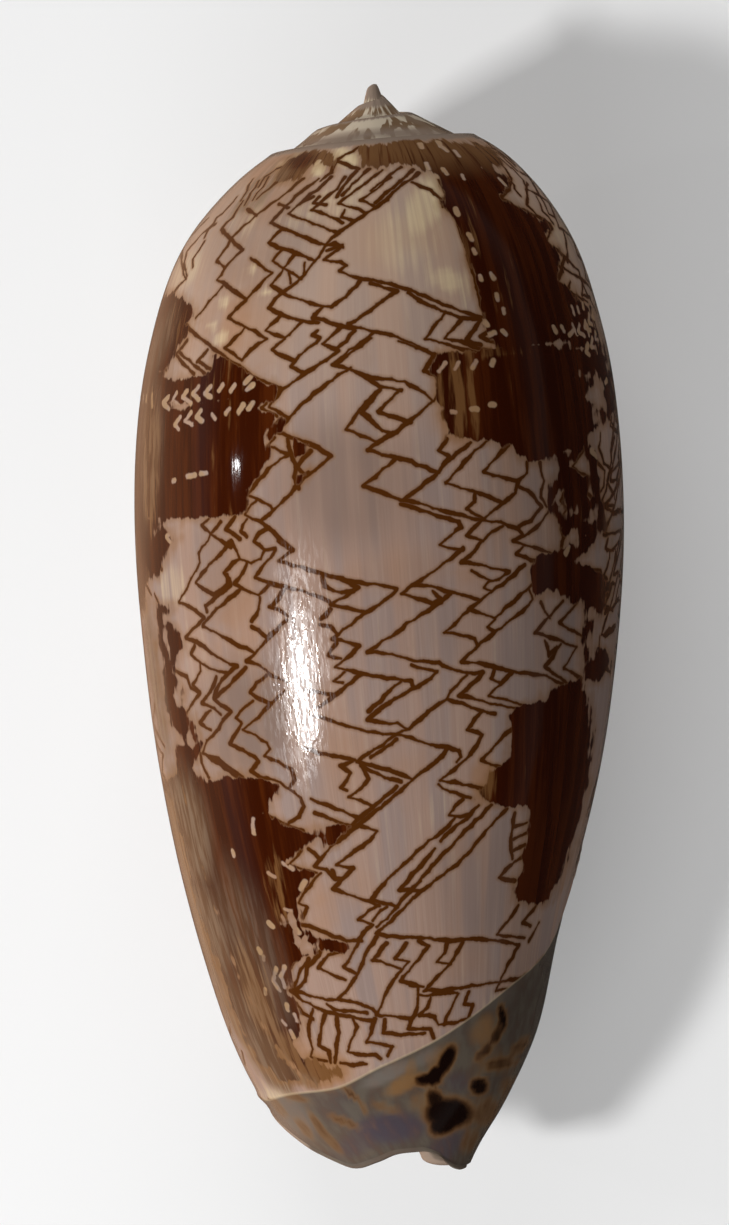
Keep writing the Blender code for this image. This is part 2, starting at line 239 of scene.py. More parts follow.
def relief(angle, depth):
    # Low forms on the outer skin: the front band's step and ridge.
    below = depth - bandAt(angle)
    height = -shellForm["bandStep"] * softStep(0.0, 0.9, below) * (1 - 0.5 * softStep(3, 8, below))
    for at, width, share in shellForm["bandRidges"]:
        height = height + share * shellForm["bandRidge"] * np.exp(-((below - at) / width) ** 2)
    return height


def skinRadius(angle, depth):
    return outerRadius(angle, depth) + relief(angle, depth)


def wallAt(angle, depth):
    slope = outerRadius(angle, depth + 0.5) - outerRadius(angle, depth - 0.5)
    total = outerRadius(angle, depth) - outerRadius(angle - 360, depth)
    lipZone = shellForm["lipWallDeg"]
    lipShare = np.clip((angle - shellForm["lipDeg"] + lipZone) / lipZone, 0, 1)
    full = shellForm["wall"] + (shellForm["lipWall"] - shellForm["wall"]) * lipShare
    full = full * np.minimum(shellForm["wallLean"], np.sqrt(1 + slope * slope))
    near = np.clip((marginAt(angle) - depth) / shellForm["edgeReach"], 0, 1)
    full = shellForm["edgeWall"] + (full - shellForm["edgeWall"]) * np.sqrt(near)
    share = np.maximum(0.05, 0.6 * total)
    return (full ** -4 + share ** -4) ** -0.25


def ceilingAt(angle):
    levels = np.arange(5.0, 60.0, 0.25)
    found = []
    for value in np.atleast_1d(angle):
        deg = np.full(levels.shape, value)
        gap = outerRadius(deg, levels) - wallAt(deg, levels) - outerRadius(deg - 360, levels)
        start = channelAt(np.array([value]))[1][0]
        wide = levels[(gap >= shellForm["ceilingGap"]) & (levels >= start)]
        depth = max(wide[0] if len(wide) else 60.0, start + shellForm["ceilingBelow"])
        near = min(1.0, (shellForm["lipDeg"] - value) / 50.0)
        lipDepth = channelAt(np.array([shellForm["lipDeg"]]))[1][0]
        found.append(lipDepth + (depth - lipDepth) * math.sin(near * math.pi / 2))
    return np.array(found)


def windPoint(angle, radius, depth):
    turn = np.radians(angle)
    return np.stack([radius * np.cos(turn), -depth, radius * np.sin(turn)], axis=-1)


def halfRound(k, count):
    # How far across and how far out a half round stands at one of its steps.
    bend = math.pi * k / count
    return 0.5 - 0.5 * math.cos(bend), math.sin(bend)


def layMatrix():
    roll = Matrix.Rotation(math.radians(shellForm["restRollDeg"]), 3, "Y")
    pitch = Matrix.Rotation(math.radians(shellForm["restPitchDeg"]), 3, "X")
    return np.array(pitch @ roll)


def layDown(points):
    # From millimetres about the coil axis to metres in the frame, resting on the ground.
    laid = (points @ layMatrix().T - np.array(shellForm["restShift"])) * 0.001
    laid[..., 2] = np.maximum(laid[..., 2], 0.0)
    return laid


spireRows = shellForm["spireRows"]
flankRows = shellForm["flankRows"]
lastRow = spireRows + flankRows
lipDeg = shellForm["lipDeg"]
bodyDeg = lipDeg - 360.0
sutureEnd = shellForm["sutureDeg"][-1]


def skinColumns(angles, rows):
    # Radius and depth of every row of the outer skin at the given angles.
    radius, depth, rimRadius, rimDepth = channelAt(angles)
    nextRadius, nextDepth, _, nextRim = channelAt(angles + 360)
    far = angles + 360 > sutureEnd
    nextDepth = np.where(far, 6.5 + (angles + 360 - sutureEnd) * 0.012, nextDepth)
    body = angles >= bodyDeg - 1e-6
    inner = nextRadius - 0.55 * np.minimum(1.0, nextRadius / 5)
    innerDepth = nextRim + 0.02
    stations = np.array([0.0, 0.1, 0.2, 0.3, 0.6, 0.84, 0.94, 1.0])
    ringRadius = np.array([radius, radius + 0.3 * (rimRadius - radius), radius + 0.75 * (rimRadius - radius),
                           rimRadius + 0.12 * (rimRadius - radius), 0.5 * (rimRadius + inner), inner,
                           inner + 0.62 * (nextRadius - inner), nextRadius])
    ringDepth = np.array([depth, depth - 0.55 * (depth - rimDepth), rimDepth + 0.02 * (depth - rimDepth), rimDepth,
                          0.5 * (rimDepth + innerDepth) - 0.05, innerDepth,
                          innerDepth + 0.45 * (nextDepth - innerDepth), nextDepth])
    outR = np.zeros((rows + 1, angles.size))
    outD = np.zeros((rows + 1, angles.size))
    plain = np.clip((angles + 1080) / 360, 0, 1)
    for row in range(min(rows, spireRows) + 1):
        t = row / spireRows
        madeR = smoothThrough(stations, ringRadius, np.full(angles.size, t))
        madeD = smoothThrough(stations, ringDepth, np.full(angles.size, t))
        evenR = radius + t * (nextRadius - radius)
        evenD = depth + t ** 1.5 * (nextDepth - depth)
        outR[row] = evenR + plain * (madeR - evenR)
        outD[row] = evenD + plain * (madeD - evenD)
        if t > 0.3:
            level = rimDepth + (nextDepth - rimDepth) * ((t - 0.3) / 0.7) ** 0.9
            fade = np.where(body, np.clip((angles - bodyDeg) / 45, 0, 1), 0.0)
            onSkin = np.where(body, skinRadius(np.maximum(angles, bodyDeg), level), 0)
            outR[row] += fade * (onSkin - outR[row])
            outD[row] += fade * (level - outD[row])
    if rows > spireRows:
        margin = marginAt(angles)
        top = outD[spireRows].copy()
        for i in range(1, flankRows + 1):
            level = top + (margin - top) * eased(i / flankRows)
            turned = angles - recedeAt(angles, level)
            outD[spireRows + i] = level
            outR[spireRows + i] = skinRadius(turned, level)
    return outR, outD


def foldRelief(angle, depth):
    # Slanting folds of the columella where it faces the mouth.
    at = (angle - bodyDeg - shellForm["foldDeg"]) / shellForm["foldWidthDeg"]
    start, full, fade, end = shellForm["foldDepths"]
    window = np.exp(-at * at) * softStep(start, full, depth) * (1 - softStep(fade, end, depth))
    pace = depth + shellForm["foldSlant"] * (angle - bodyDeg)
    wave = np.cos(2 * np.pi * pace / (shellForm["foldPitch"] - shellForm["foldNarrowing"] * (depth - 30)))
    return shellForm["foldHeight"] * window * (0.5 + 0.5 * wave) ** 1.5


# Outer skin: the spire's ribbon, then the body whorl down to the front margin.
step = shellForm["stepDeg"]
spireAngles = np.arange(shellForm["apexDeg"], bodyDeg + step / 2, step)
bodyAngles = np.arange(bodyDeg, lipDeg + step / 2, step)
spireR, spireD = skinColumns(spireAngles, spireRows)
bodyR, bodyD = skinColumns(bodyAngles, lastRow)
bodyTurned = np.array([bodyAngles - recedeAt(bodyAngles, row) for row in bodyD])
bodyTurned[:spireRows + 1] = bodyAngles
bodyR[spireRows + 1:] += foldRelief(bodyTurned[spireRows + 1:], bodyD[spireRows + 1:])
print("skin", spireR.shape, bodyR.shape)

# Lip edge: a half round from the outer skin to the inner wall.
lipSteps = shellForm["lipColumns"]
lipRowR = bodyR[:, -1]
lipRowD = bodyD[:, -1]
sutureR = bodyR[0, -1]
sutureD = bodyD[0, -1]
rowShare = np.clip(np.arange(lastRow + 1) / spireRows, 0, 1)
edgeD = np.where(rowShare < 1, sutureD + (lipRowD[spireRows] - sutureD) * rowShare ** 1.4, lipRowD)
edgeDeg = np.full(lastRow + 1, lipDeg)
edgeWall = wallAt(edgeDeg, edgeD) * softStep(0.0, 0.45, rowShare)
edgeR = outerRadius(edgeDeg, edgeD) - edgeWall
edgeR = sutureR + (edgeR - sutureR) * softStep(0.0, 0.5, rowShare)
lipR, lipD, lipA = np.zeros((3, lastRow + 1, lipSteps + 1))
for k in range(lipSteps + 1):
    mix, out = halfRound(k, lipSteps)
    lipR[:, k] = lipRowR + mix * (edgeR - lipRowR)
    lipD[:, k] = lipRowD + mix * (edgeD - lipRowD)
    thick = np.hypot(edgeR - lipRowR, edgeD - lipRowD)
    bulge = np.degrees(shellForm["edgeBulge"] * thick * out / lipR[:, k])
    lipA[:, k] = lipDeg + bulge - recedeAt(edgeDeg, lipD[:, k])

# Hollow: parietal wall first, then the outer wall with its arched ceiling.
holCols = shellForm["hollowColumns"]
share = np.arange(holCols + 1) / holCols
nominal = lipDeg - shellForm["hollowDeg"] * share
ceiling = ceilingAt(nominal)
ceiling[0] = sutureD


def hollowTurn(t):
    grow = np.clip((t - 0.62) / 0.38, 0, 1) ** 1.3
    return shellForm["hollowDeg"] + (shellForm["hollowEndDeg"] - shellForm["hollowDeg"]) * grow


settle = softStep(0, 10, np.arange(holCols + 1.0))
innerR, innerD, innerA = np.zeros((3, flankRows + 1, holCols + 1))
outerR, outerD, outerA = np.zeros((3, lastRow + 1, holCols + 1))
for i in range(flankRows + 1):
    t = i / flankRows
    turn = hollowTurn(t)
    angle = bodyDeg - turn * share
    level = ceiling + (marginAt(angle) - ceiling) * eased(t)
    level = bodyD[spireRows + i, 0] + settle * (level - bodyD[spireRows + i, 0])
    radius = skinRadius(angle, level) + foldRelief(angle, level)
    topFade = (1 - settle) * (1 - softStep(0, 12, i))
    radius = radius + topFade * (bodyR[spireRows + i, 0] - radius)
    innerR[i] = radius
    innerD[i] = level
    innerA[i] = angle
    angle = lipDeg - turn * share
    level = ceiling + (marginAt(angle) - ceiling) * eased(t)
    level = edgeD[spireRows + i] + settle * (level - edgeD[spireRows + i])
    turned = angle - recedeAt(angle, level)
    outerR[spireRows + i] = outerRadius(turned, level) - wallAt(turned, level)
    outerD[spireRows + i] = level
    outerA[spireRows + i] = turned
innerR[:, 0] = bodyR[spireRows:, 0]
innerD[:, 0] = bodyD[spireRows:, 0]
for row in range(spireRows + 1):
    mix, out = halfRound(row, spireRows)
    archR = innerR[0] + mix * (outerR[spireRows] - innerR[0])
    rise = shellForm["archRise"] * (outerR[spireRows] - innerR[0]) * out
    archD = innerD[0] + mix * (outerD[spireRows] - innerD[0]) - rise
    outerR[row] = edgeR[row] + settle * (archR - edgeR[row])
    outerD[row] = edgeD[row] + settle * (archD - edgeD[row])
    outerA[row] = lipDeg - shellForm["hollowDeg"] * share
outerR[0] = innerR[0]
outerD[0] = innerD[0]
outerR[:, 0] = lipR[:, -1]
outerD[:, 0] = lipD[:, -1]
outerA[:, 0] = lipA[:, -1]

skinPoints = windPoint(bodyTurned, bodyR, bodyD)
spirePoints = windPoint(np.broadcast_to(spireAngles, spireR.shape), spireR, spireD)
lipPoints = windPoint(lipA, lipR, lipD)
outerPoints = windPoint(outerA, outerR, outerD)
innerPoints = windPoint(innerA, innerR, innerD)
outerPoints[0] = innerPoints[0]

# Deep end of the hollow, the wall's front edge and the tip of the columella.
deepPoints = np.zeros((flankRows + 1, spireRows + 1, 3))
for k in range(spireRows + 1):
    mix, _ = halfRound(k, spireRows)
    deepPoints[:, k] = innerPoints[:, -1] + mix * (outerPoints[spireRows:, -1] - innerPoints[:, -1])
deepPoints[0] = outerPoints[:spireRows + 1, -1]
frontOuter = skinPoints[-1, ::-1][:holCols + 1]
frontInner = outerPoints[-1]
frontPoints = np.zeros((lipSteps + 1, holCols + 1, 3))
frontSettle = softStep(0, 7, np.arange(holCols + 1.0))[:, None]
for k in range(lipSteps + 1):
    mix, out = halfRound(k, lipSteps)
    across = frontOuter + mix * (frontInner - frontOuter)
    thick = np.linalg.norm(frontInner - frontOuter, axis=1)
    across[:, 1] -= shellForm["edgeBulge"] * np.minimum(thick, shellForm["frontThick"]) * out
    frontPoints[k] = lipPoints[-1, k] + frontSettle * (across - lipPoints[-1, k])
frontPoints[0] = frontOuter
frontPoints[-1] = frontInner
frontPoints[:, 0] = lipPoints[-1]
rootColumn = bodyAngles.size - 1 - holCols
ring = np.concatenate([innerPoints[-1, ::-1], skinPoints[-1, 1:rootColumn + 1], frontPoints[1:, -1],
                       deepPoints[-1, ::-1][1:]])
tipPlace = np.array([0.0, -shellForm["tipDepth"], 0.0])
tipPoints = np.zeros((shellForm["tipRings"] + 1, len(ring), 3))
for k in range(shellForm["tipRings"] + 1):
    lean = 0.5 * math.pi * k / shellForm["tipRings"]
    tipPoints[k] = tipPlace + (ring - tipPlace) * math.cos(lean)
    tipPoints[k, :, 1] = ring[:, 1] + (tipPlace[1] - ring[:, 1]) * math.sin(lean)
print("sheets ready")


# How the photograph was taken: straight down on the back, in its 729 by 1225 pixels. Distances in mm.
photoView = {
    "pictureWidth": 729,
    "pictureHeight": 1225,
    "distance": 620.0,
    "frameHeight": 107.4,
    "slantDeg": 3.89,
    "apexPixel": (373.5, 84.0),
    "handNudge": (0.8, 0.9),
}
slant = math.radians(photoView["slantDeg"])
rightWay = np.array([math.cos(slant), -math.sin(slant), 0.0])
upWay = np.array([math.sin(slant), math.cos(slant), 0.0])
backWay = np.array([0.0, 0.0, 1.0])
middlePixel = (photoView["pictureWidth"] / 2, photoView["pictureHeight"] / 2)
pixelMm = photoView["frameHeight"] / photoView["pictureHeight"]
fromApex = [(middlePixel[k] - photoView["apexPixel"][k]) * pixelMm for k in range(2)]
aimPlace = rightWay * fromApex[0] - upWay * fromApex[1]
eyePlace = aimPlace + backWay * photoView["distance"]


def toPixels(points):
    # Where points of the shell stand in the photograph.
    seen = points - eyePlace
    scale = photoView["distance"] / (-(seen @ backWay) * pixelMm)
    return middlePixel[0] + (seen @ rightWay) * scale, middlePixel[1] - (seen @ upWay) * scale


# Settings of the tent markings: piece length and waver in photograph pixels, other lengths in mm.
tentMarks = {
    "inkSlots": 6,
    "paleSlots": 2,
    "pieceLength": 8.5,
    "waver": 0.9,
    "mmPerDeg": 0.36,
    "lineHalf": 0.19,
    "paleHalf": 0.22,
    "paleRagged": 0.36,
    "cornerFill": 0.1,
    "shake": 0.16,
    "longestStep": 4.0,
    "reach": 1.1,
    "levelGap": 0.5,
    "facing": 0.12,
    "farOut": -9.0,
    "emptySlot": (60.0, 60.0, 0.01, 0.0),
}

# The tent lines on the back, stroke by stroke, as the photograph shows them.
tentStrokes = {
    "rightEdge": [
        [(600, 432), (598, 446), (603, 462), (612, 470), (618, 462)], [(614, 436), (610, 452), (612, 466), (606, 480),
        (612, 492)], [(597, 462), (604, 470), (603, 486), (596, 496), (604, 506), (616, 512)], [(618, 480),
        (612, 494), (604, 504)], [(600, 572), (608, 590), (600, 602), (612, 610)], [(604, 612), (612, 606),
        (618, 596)], [(606, 645), (616, 650)], [(604, 650), (600, 664), (610, 672)], [(606, 414), (612, 424)],
    ],
    "shoulder": [
        [(242, 200), (232, 216), (221, 228), (230, 238), (242, 249), (232, 258), (224, 267), (216, 279), (230, 288),
        (245, 298)], [(302, 178), (284, 193), (270, 203), (256, 214), (243, 225), (230, 238), (223, 250), (216, 260),
        (224, 267)], [(246, 208), (256, 215)], [(318, 178), (300, 191), (284, 206), (270, 222), (281, 227),
        (296, 233), (320, 243), (342, 246)], [(278, 203), (288, 207)], [(330, 176), (322, 184), (310, 193),
        (296, 205), (288, 213), (304, 219), (322, 226), (338, 232)], [(344, 176), (336, 188), (320, 201), (311, 209),
        (330, 216), (342, 222)], [(318, 196), (313, 202), (325, 204)], [(382, 169), (364, 183), (350, 193),
        (338, 203), (350, 206), (363, 211)], [(344, 209), (341, 216), (352, 220)], [(390, 176), (372, 191),
        (360, 199), (372, 205)], [(418, 172), (402, 183), (392, 192), (380, 203), (366, 212), (354, 220), (340, 230),
        (330, 238), (325, 244)], [(412, 169), (400, 180), (385, 192), (374, 202)], [(400, 166), (384, 179),
        (370, 190)], [(356, 170), (346, 181), (336, 196)], [(368, 168), (352, 183), (342, 194)], [(258, 180),
        (250, 192), (244, 204)], [(268, 176), (262, 186), (252, 199)], [(300, 168), (284, 176), (268, 188),
        (256, 198)], [(252, 178), (246, 190), (240, 200)], [(236, 196), (228, 206), (216, 217), (208, 228),
        (204, 236)], [(290, 162), (276, 168), (264, 176), (258, 186)], [(334, 162), (330, 172), (320, 180)],
        [(296, 205), (304, 200), (312, 196)], [(411, 181), (430, 189), (440, 198), (442, 206)], [(358, 146),
        (338, 158)], [(336, 160), (358, 168)],
    ],
    "upperLeft": [
        [(221, 286), (208, 301), (195, 317)], [(186, 324), (190, 329), (206, 342), (222, 354), (238, 365), (250, 375),
        (262, 380), (280, 387)], [(250, 257), (258, 263), (271, 272), (258, 285), (245, 299), (236, 308), (228, 317),
        (240, 324), (254, 330), (266, 338)], [(245, 326), (234, 337), (224, 347), (232, 353), (241, 359), (250, 349),
        (266, 338)], [(281, 228), (268, 242), (278, 247), (290, 250), (302, 255), (314, 260)], [(281, 249),
        (272, 260), (282, 267), (300, 278)], [(295, 252), (290, 258), (282, 268)], [(282, 270), (270, 284),
        (280, 290)], [(288, 272), (290, 282)], [(325, 244), (318, 256), (311, 264), (304, 273), (300, 277),
        (290, 286), (280, 293), (268, 307), (280, 313), (300, 320), (318, 322)], [(304, 262), (303, 272)],
        [(280, 292), (300, 299), (320, 305), (331, 306)], [(322, 306), (314, 314), (312, 320)], [(280, 314),
        (265, 330), (275, 334), (284, 337), (294, 328), (302, 320)], [(360, 279), (345, 296), (330, 306)],
        [(312, 317), (322, 319), (340, 325), (360, 327), (380, 332), (390, 334), (410, 342), (426, 349)], [(396, 290),
        (382, 300), (370, 310), (360, 316), (348, 323), (354, 330), (346, 340), (336, 348)], [(284, 338), (271, 349),
        (284, 356), (294, 360)], [(317, 330), (312, 334), (319, 337), (316, 342), (304, 350), (294, 360), (290, 366),
        (302, 372)], [(340, 326), (332, 334), (322, 343), (336, 348)], [(322, 343), (330, 348), (334, 349)],
        [(372, 332), (360, 342), (348, 349), (338, 360), (332, 364), (342, 366), (360, 373), (370, 377)], [(342, 244),
        (330, 254), (323, 259), (340, 261), (346, 265), (339, 270), (350, 275), (360, 278)], [(325, 244), (334, 242),
        (342, 246)], [(326, 250), (336, 246)],
    ],
    "bigTent": [
        [(438, 179), (445, 194), (441, 203), (447, 209), (456, 220), (463, 240), (470, 264), (476, 286), (480, 304),
        (484, 316)], [(360, 278), (372, 279), (390, 283), (410, 289), (430, 298), (450, 306), (470, 313), (486, 317)],
        [(408, 292), (420, 300), (440, 310), (460, 317), (480, 319)], [(370, 282), (384, 287), (396, 290)],
        [(445, 311), (440, 318), (432, 327), (424, 338), (438, 341), (454, 346), (466, 350), (482, 352)], [(460, 319),
        (452, 328), (444, 338), (460, 340), (478, 348), (490, 350)], [(480, 319), (474, 328), (466, 339), (480, 344)],
        [(418, 300), (426, 303), (436, 308)], [(494, 326), (480, 336), (496, 342)], [(526, 182), (526, 204),
        (536, 214), (550, 224)], [(510, 178), (508, 188), (499, 197), (524, 209), (540, 218), (551, 226), (546, 240),
        (562, 254), (578, 270), (582, 284), (590, 300), (600, 318)], [(547, 252), (544, 262), (558, 274)],
        [(564, 256), (560, 272), (558, 278)], [(556, 262), (562, 270)], [(558, 282), (570, 292), (578, 300)],
        [(536, 196), (542, 210), (552, 222)],
    ],
    "upperMiddle": [
        [(338, 350), (320, 362), (303, 373), (292, 381), (281, 389), (268, 406), (278, 411), (288, 417)], [(280, 388),
        (270, 397), (261, 407), (276, 415)], [(370, 337), (360, 345), (346, 355), (334, 364)], [(350, 367),
        (338, 374), (320, 388), (302, 402), (288, 417), (274, 431), (290, 436), (310, 443), (330, 455), (322, 463),
        (302, 478), (290, 493), (274, 508), (260, 520)], [(280, 418), (268, 432)], [(360, 373), (370, 380),
        (380, 386), (392, 388), (400, 389)], [(380, 388), (370, 397), (360, 408), (354, 416), (345, 428), (360, 435),
        (376, 441), (392, 432)], [(370, 377), (390, 378), (404, 381), (424, 392), (432, 400), (418, 413), (406, 422),
        (396, 431), (382, 440), (367, 449)], [(380, 389), (371, 400), (362, 411), (368, 416)], [(398, 389),
        (390, 398), (378, 411), (396, 417), (410, 421)], [(360, 412), (368, 418), (382, 430), (392, 433)],
        [(376, 441), (367, 449), (382, 454), (400, 458), (410, 460), (430, 469), (438, 471)], [(394, 459), (382, 468),
        (374, 476), (362, 485), (372, 488), (380, 491), (400, 499), (418, 502), (440, 509), (460, 514), (480, 519),
        (500, 521), (518, 528)], [(438, 471), (424, 482), (412, 492), (402, 499)], [(400, 503), (420, 509),
        (440, 516), (458, 521), (460, 526), (450, 535), (439, 544), (454, 548), (462, 549)], [(434, 353), (423, 370),
        (436, 375), (438, 392), (433, 400)], [(398, 340), (416, 347), (438, 355)], [(452, 352), (445, 362),
        (448, 372)], [(446, 438), (438, 450), (448, 455), (442, 464), (438, 471)], [(470, 442), (456, 452),
        (444, 464), (438, 471)], [(486, 440), (474, 450), (460, 466), (445, 482), (460, 487), (480, 493), (500, 501)],
        [(508, 444), (494, 458), (483, 471), (498, 475), (516, 480)], [(526, 461), (526, 472), (517, 480), (515, 492),
        (502, 502), (490, 512), (482, 519)], [(474, 492), (474, 501), (466, 508), (478, 515), (484, 518)],
        [(519, 487), (528, 490), (536, 500), (541, 506), (530, 520), (518, 526)], [(482, 519), (474, 526), (466, 535),
        (482, 540), (492, 530), (502, 525)], [(550, 504), (548, 510), (536, 526), (520, 537), (512, 540), (524, 544),
        (542, 549), (558, 556)], [(518, 528), (522, 534), (514, 540)], [(550, 504), (560, 520), (563, 536),
        (560, 550)], [(539, 462), (543, 480), (540, 496), (546, 506)], [(585, 444), (578, 456), (572, 466),
        (590, 478), (584, 490), (592, 498)], [(568, 486), (560, 500), (566, 508), (560, 518), (570, 524)],
        [(287, 438), (290, 452), (295, 464), (294, 476), (298, 488)], [(310, 450), (303, 457), (296, 467), (304, 473),
        (308, 471)], [(274, 436), (267, 445), (280, 451), (287, 453)], [(287, 454), (274, 463), (258, 478),
        (246, 494), (256, 498), (270, 505), (272, 509)], [(256, 499), (250, 505), (244, 514), (258, 520), (268, 527),
        (278, 537), (292, 549)],
    ],
    "leftCells": [
        [(207, 349), (196, 361)], [(186, 340), (182, 346), (175, 353), (182, 362), (193, 373)], [(178, 351),
        (188, 359), (204, 373)], [(198, 360), (206, 367), (216, 370)], [(234, 516), (225, 528), (239, 538)],
        [(208, 518), (201, 524), (210, 533), (220, 540), (230, 546)], [(220, 521), (210, 533), (207, 540), (198, 552),
        (199, 562), (190, 578), (186, 588), (178, 601), (188, 605), (204, 617), (192, 628), (185, 637), (196, 641),
        (210, 652), (220, 658), (236, 665), (226, 674), (218, 684), (213, 697)], [(268, 527), (258, 532), (253, 541),
        (264, 549), (274, 548)], [(246, 518), (240, 530), (246, 536)], [(228, 542), (220, 553), (208, 564),
        (200, 574), (195, 582), (202, 588), (213, 594), (226, 585)], [(230, 540), (236, 550), (239, 558), (250, 562),
        (260, 558), (264, 549)], [(239, 558), (232, 562), (223, 572), (228, 578), (230, 584)], [(226, 574),
        (227, 586)], [(246, 562), (242, 572), (234, 582), (242, 588), (258, 594), (268, 584)], [(278, 540),
        (286, 547), (292, 549), (284, 555), (278, 560), (300, 566), (320, 572), (340, 578), (360, 582), (384, 585),
        (396, 588)], [(275, 549), (270, 556), (260, 568), (254, 577), (266, 581), (284, 586), (302, 590), (320, 597),
        (328, 600)], [(283, 587), (278, 598), (268, 606), (278, 609), (287, 615)], [(230, 584), (220, 592),
        (205, 605), (206, 611)], [(240, 588), (228, 598), (216, 608), (202, 625), (216, 632), (230, 640), (254, 652)],
        [(259, 596), (258, 608), (251, 620)], [(251, 626), (258, 630), (265, 636)], [(286, 619), (270, 634),
        (260, 646), (246, 660), (260, 665), (270, 674), (286, 681)], [(245, 667), (234, 678), (222, 690), (213, 698),
        (220, 704), (231, 711), (222, 719), (218, 728), (206, 740), (202, 752), (218, 758), (230, 768), (242, 777)],
        [(194, 645), (190, 653), (200, 662), (216, 670), (226, 672)], [(199, 662), (200, 670), (192, 684),
        (199, 691)], [(216, 676), (210, 690), (201, 702), (214, 708), (220, 714)], [(175, 670), (186, 676),
        (190, 687), (199, 692), (192, 702), (186, 712)], [(210, 709), (199, 722), (210, 729)], [(266, 674),
        (256, 682), (249, 692), (260, 699), (270, 702)], [(252, 700), (242, 708), (235, 717), (241, 722), (234, 734),
        (229, 743), (242, 749), (254, 756), (258, 761), (250, 770), (260, 777)], [(284, 690), (270, 703), (258, 716),
        (242, 729), (254, 734), (266, 742), (269, 748), (264, 755), (278, 761), (290, 768), (294, 778), (288, 788)],
        [(206, 755), (224, 767), (238, 777)], [(200, 752), (201, 762), (208, 777)], [(260, 777), (274, 779),
        (286, 787), (300, 797), (303, 805), (298, 816), (288, 822)], [(261, 812), (274, 818), (286, 824), (302, 830)],
    ],
    "middle": [
        [(322, 576), (324, 585), (340, 592), (352, 590)], [(342, 578), (357, 587), (346, 595), (330, 603), (346, 607),
        (363, 611)], [(396, 589), (384, 599), (370, 609), (364, 612), (350, 624), (338, 633), (332, 638), (346, 641),
        (358, 645), (350, 654), (334, 666), (346, 669), (360, 672), (380, 676), (410, 680), (413, 687)], [(330, 608),
        (320, 618)], [(319, 624), (330, 626), (336, 632)], [(336, 642), (327, 655), (340, 658)], [(344, 671),
        (333, 680), (342, 682)], [(360, 673), (350, 682), (340, 690), (332, 696), (317, 707)], [(304, 689),
        (318, 691), (332, 694)], [(311, 715), (320, 716), (340, 723), (360, 729), (382, 733), (400, 734), (410, 737),
        (430, 744), (446, 746), (458, 750), (460, 756), (456, 761)], [(450, 593), (440, 601), (422, 613), (406, 622),
        (396, 632), (382, 640), (367, 651), (382, 652), (400, 656), (414, 660), (438, 662), (450, 668), (466, 672),
        (482, 671)], [(411, 584), (401, 593), (418, 598), (432, 603), (440, 598), (432, 590)], [(411, 584),
        (430, 585), (444, 590), (462, 594), (478, 599)], [(462, 547), (450, 558), (436, 568), (420, 579), (411, 584)],
        [(480, 541), (474, 550), (461, 561), (474, 563), (490, 567), (508, 571), (498, 578), (488, 581), (483, 587),
        (490, 590)], [(471, 570), (482, 576), (490, 580)], [(524, 564), (508, 578), (490, 591), (478, 601),
        (462, 614), (454, 623), (443, 632), (460, 634), (474, 638), (477, 645)], [(470, 609), (482, 613), (494, 617),
        (506, 606), (520, 594), (536, 580)], [(494, 618), (487, 626), (494, 631)], [(532, 598), (522, 610),
        (506, 622), (494, 631), (480, 642), (470, 652), (461, 661), (478, 662), (494, 666), (510, 670), (526, 672),
        (546, 675), (562, 683)], [(411, 664), (424, 668), (436, 671), (426, 680), (410, 689), (394, 698), (382, 706),
        (372, 714), (367, 719), (382, 722), (396, 722), (406, 728)], [(400, 681), (388, 690), (380, 700), (368, 710)],
        [(466, 674), (450, 690), (446, 698), (434, 706), (420, 718), (408, 728), (394, 734), (382, 744), (368, 752),
        (356, 761), (370, 764), (382, 768), (396, 772), (412, 779)], [(396, 738), (384, 747), (370, 756)],
        [(482, 672), (470, 684), (458, 695), (474, 698), (490, 703), (514, 707)], [(446, 698), (460, 702), (478, 709),
        (494, 713)], [(494, 667), (491, 678), (500, 683)], [(512, 671), (500, 683), (488, 695), (506, 699),
        (522, 704)], [(482, 710), (474, 718), (466, 729), (482, 734), (476, 744), (470, 753), (458, 764), (448, 773),
        (439, 780), (454, 781), (470, 785), (488, 789)], [(510, 729), (500, 738), (490, 750), (481, 759), (490, 764),
        (500, 766)], [(516, 553), (522, 546)], [(516, 553), (530, 559), (536, 560)], [(562, 600), (550, 614),
        (534, 632), (550, 637), (576, 646), (563, 667), (580, 678)], [(540, 602), (549, 617)], [(576, 602),
        (559, 622), (582, 636)], [(560, 643), (552, 656), (544, 666), (566, 682)], [(544, 640), (548, 654),
        (556, 646)], [(532, 598), (528, 588), (534, 580)],
    ],
    "lowerMiddle": [
        [(302, 747), (318, 752), (340, 756), (354, 759)], [(352, 760), (340, 765), (350, 772), (346, 780), (340, 787),
        (346, 790)], [(362, 767), (368, 778), (360, 788), (348, 796), (366, 802), (372, 806)], [(360, 765),
        (370, 770), (384, 777), (400, 781)], [(446, 749), (436, 760), (420, 772), (412, 779), (400, 790), (390, 798),
        (380, 807), (368, 816), (350, 830), (336, 842)], [(396, 786), (384, 796), (372, 806), (356, 819), (344, 832),
        (330, 846), (320, 858), (314, 866), (326, 869), (332, 876)], [(310, 798), (326, 804), (342, 810), (356, 816)],
        [(314, 812), (330, 818), (340, 822), (350, 826)], [(360, 825), (376, 830), (368, 840), (354, 850), (344, 858),
        (336, 864), (352, 867), (346, 874), (332, 888), (346, 893), (360, 898), (378, 905)], [(332, 870), (334, 878),
        (342, 878)], [(320, 872), (310, 884), (302, 894), (298, 902), (306, 906), (302, 916)], [(308, 848),
        (318, 857)], [(300, 850), (288, 864), (300, 868), (316, 872)], [(438, 783), (442, 788), (456, 792),
        (470, 797)], [(462, 798), (456, 804), (448, 814), (460, 816), (470, 813)], [(454, 817), (440, 832),
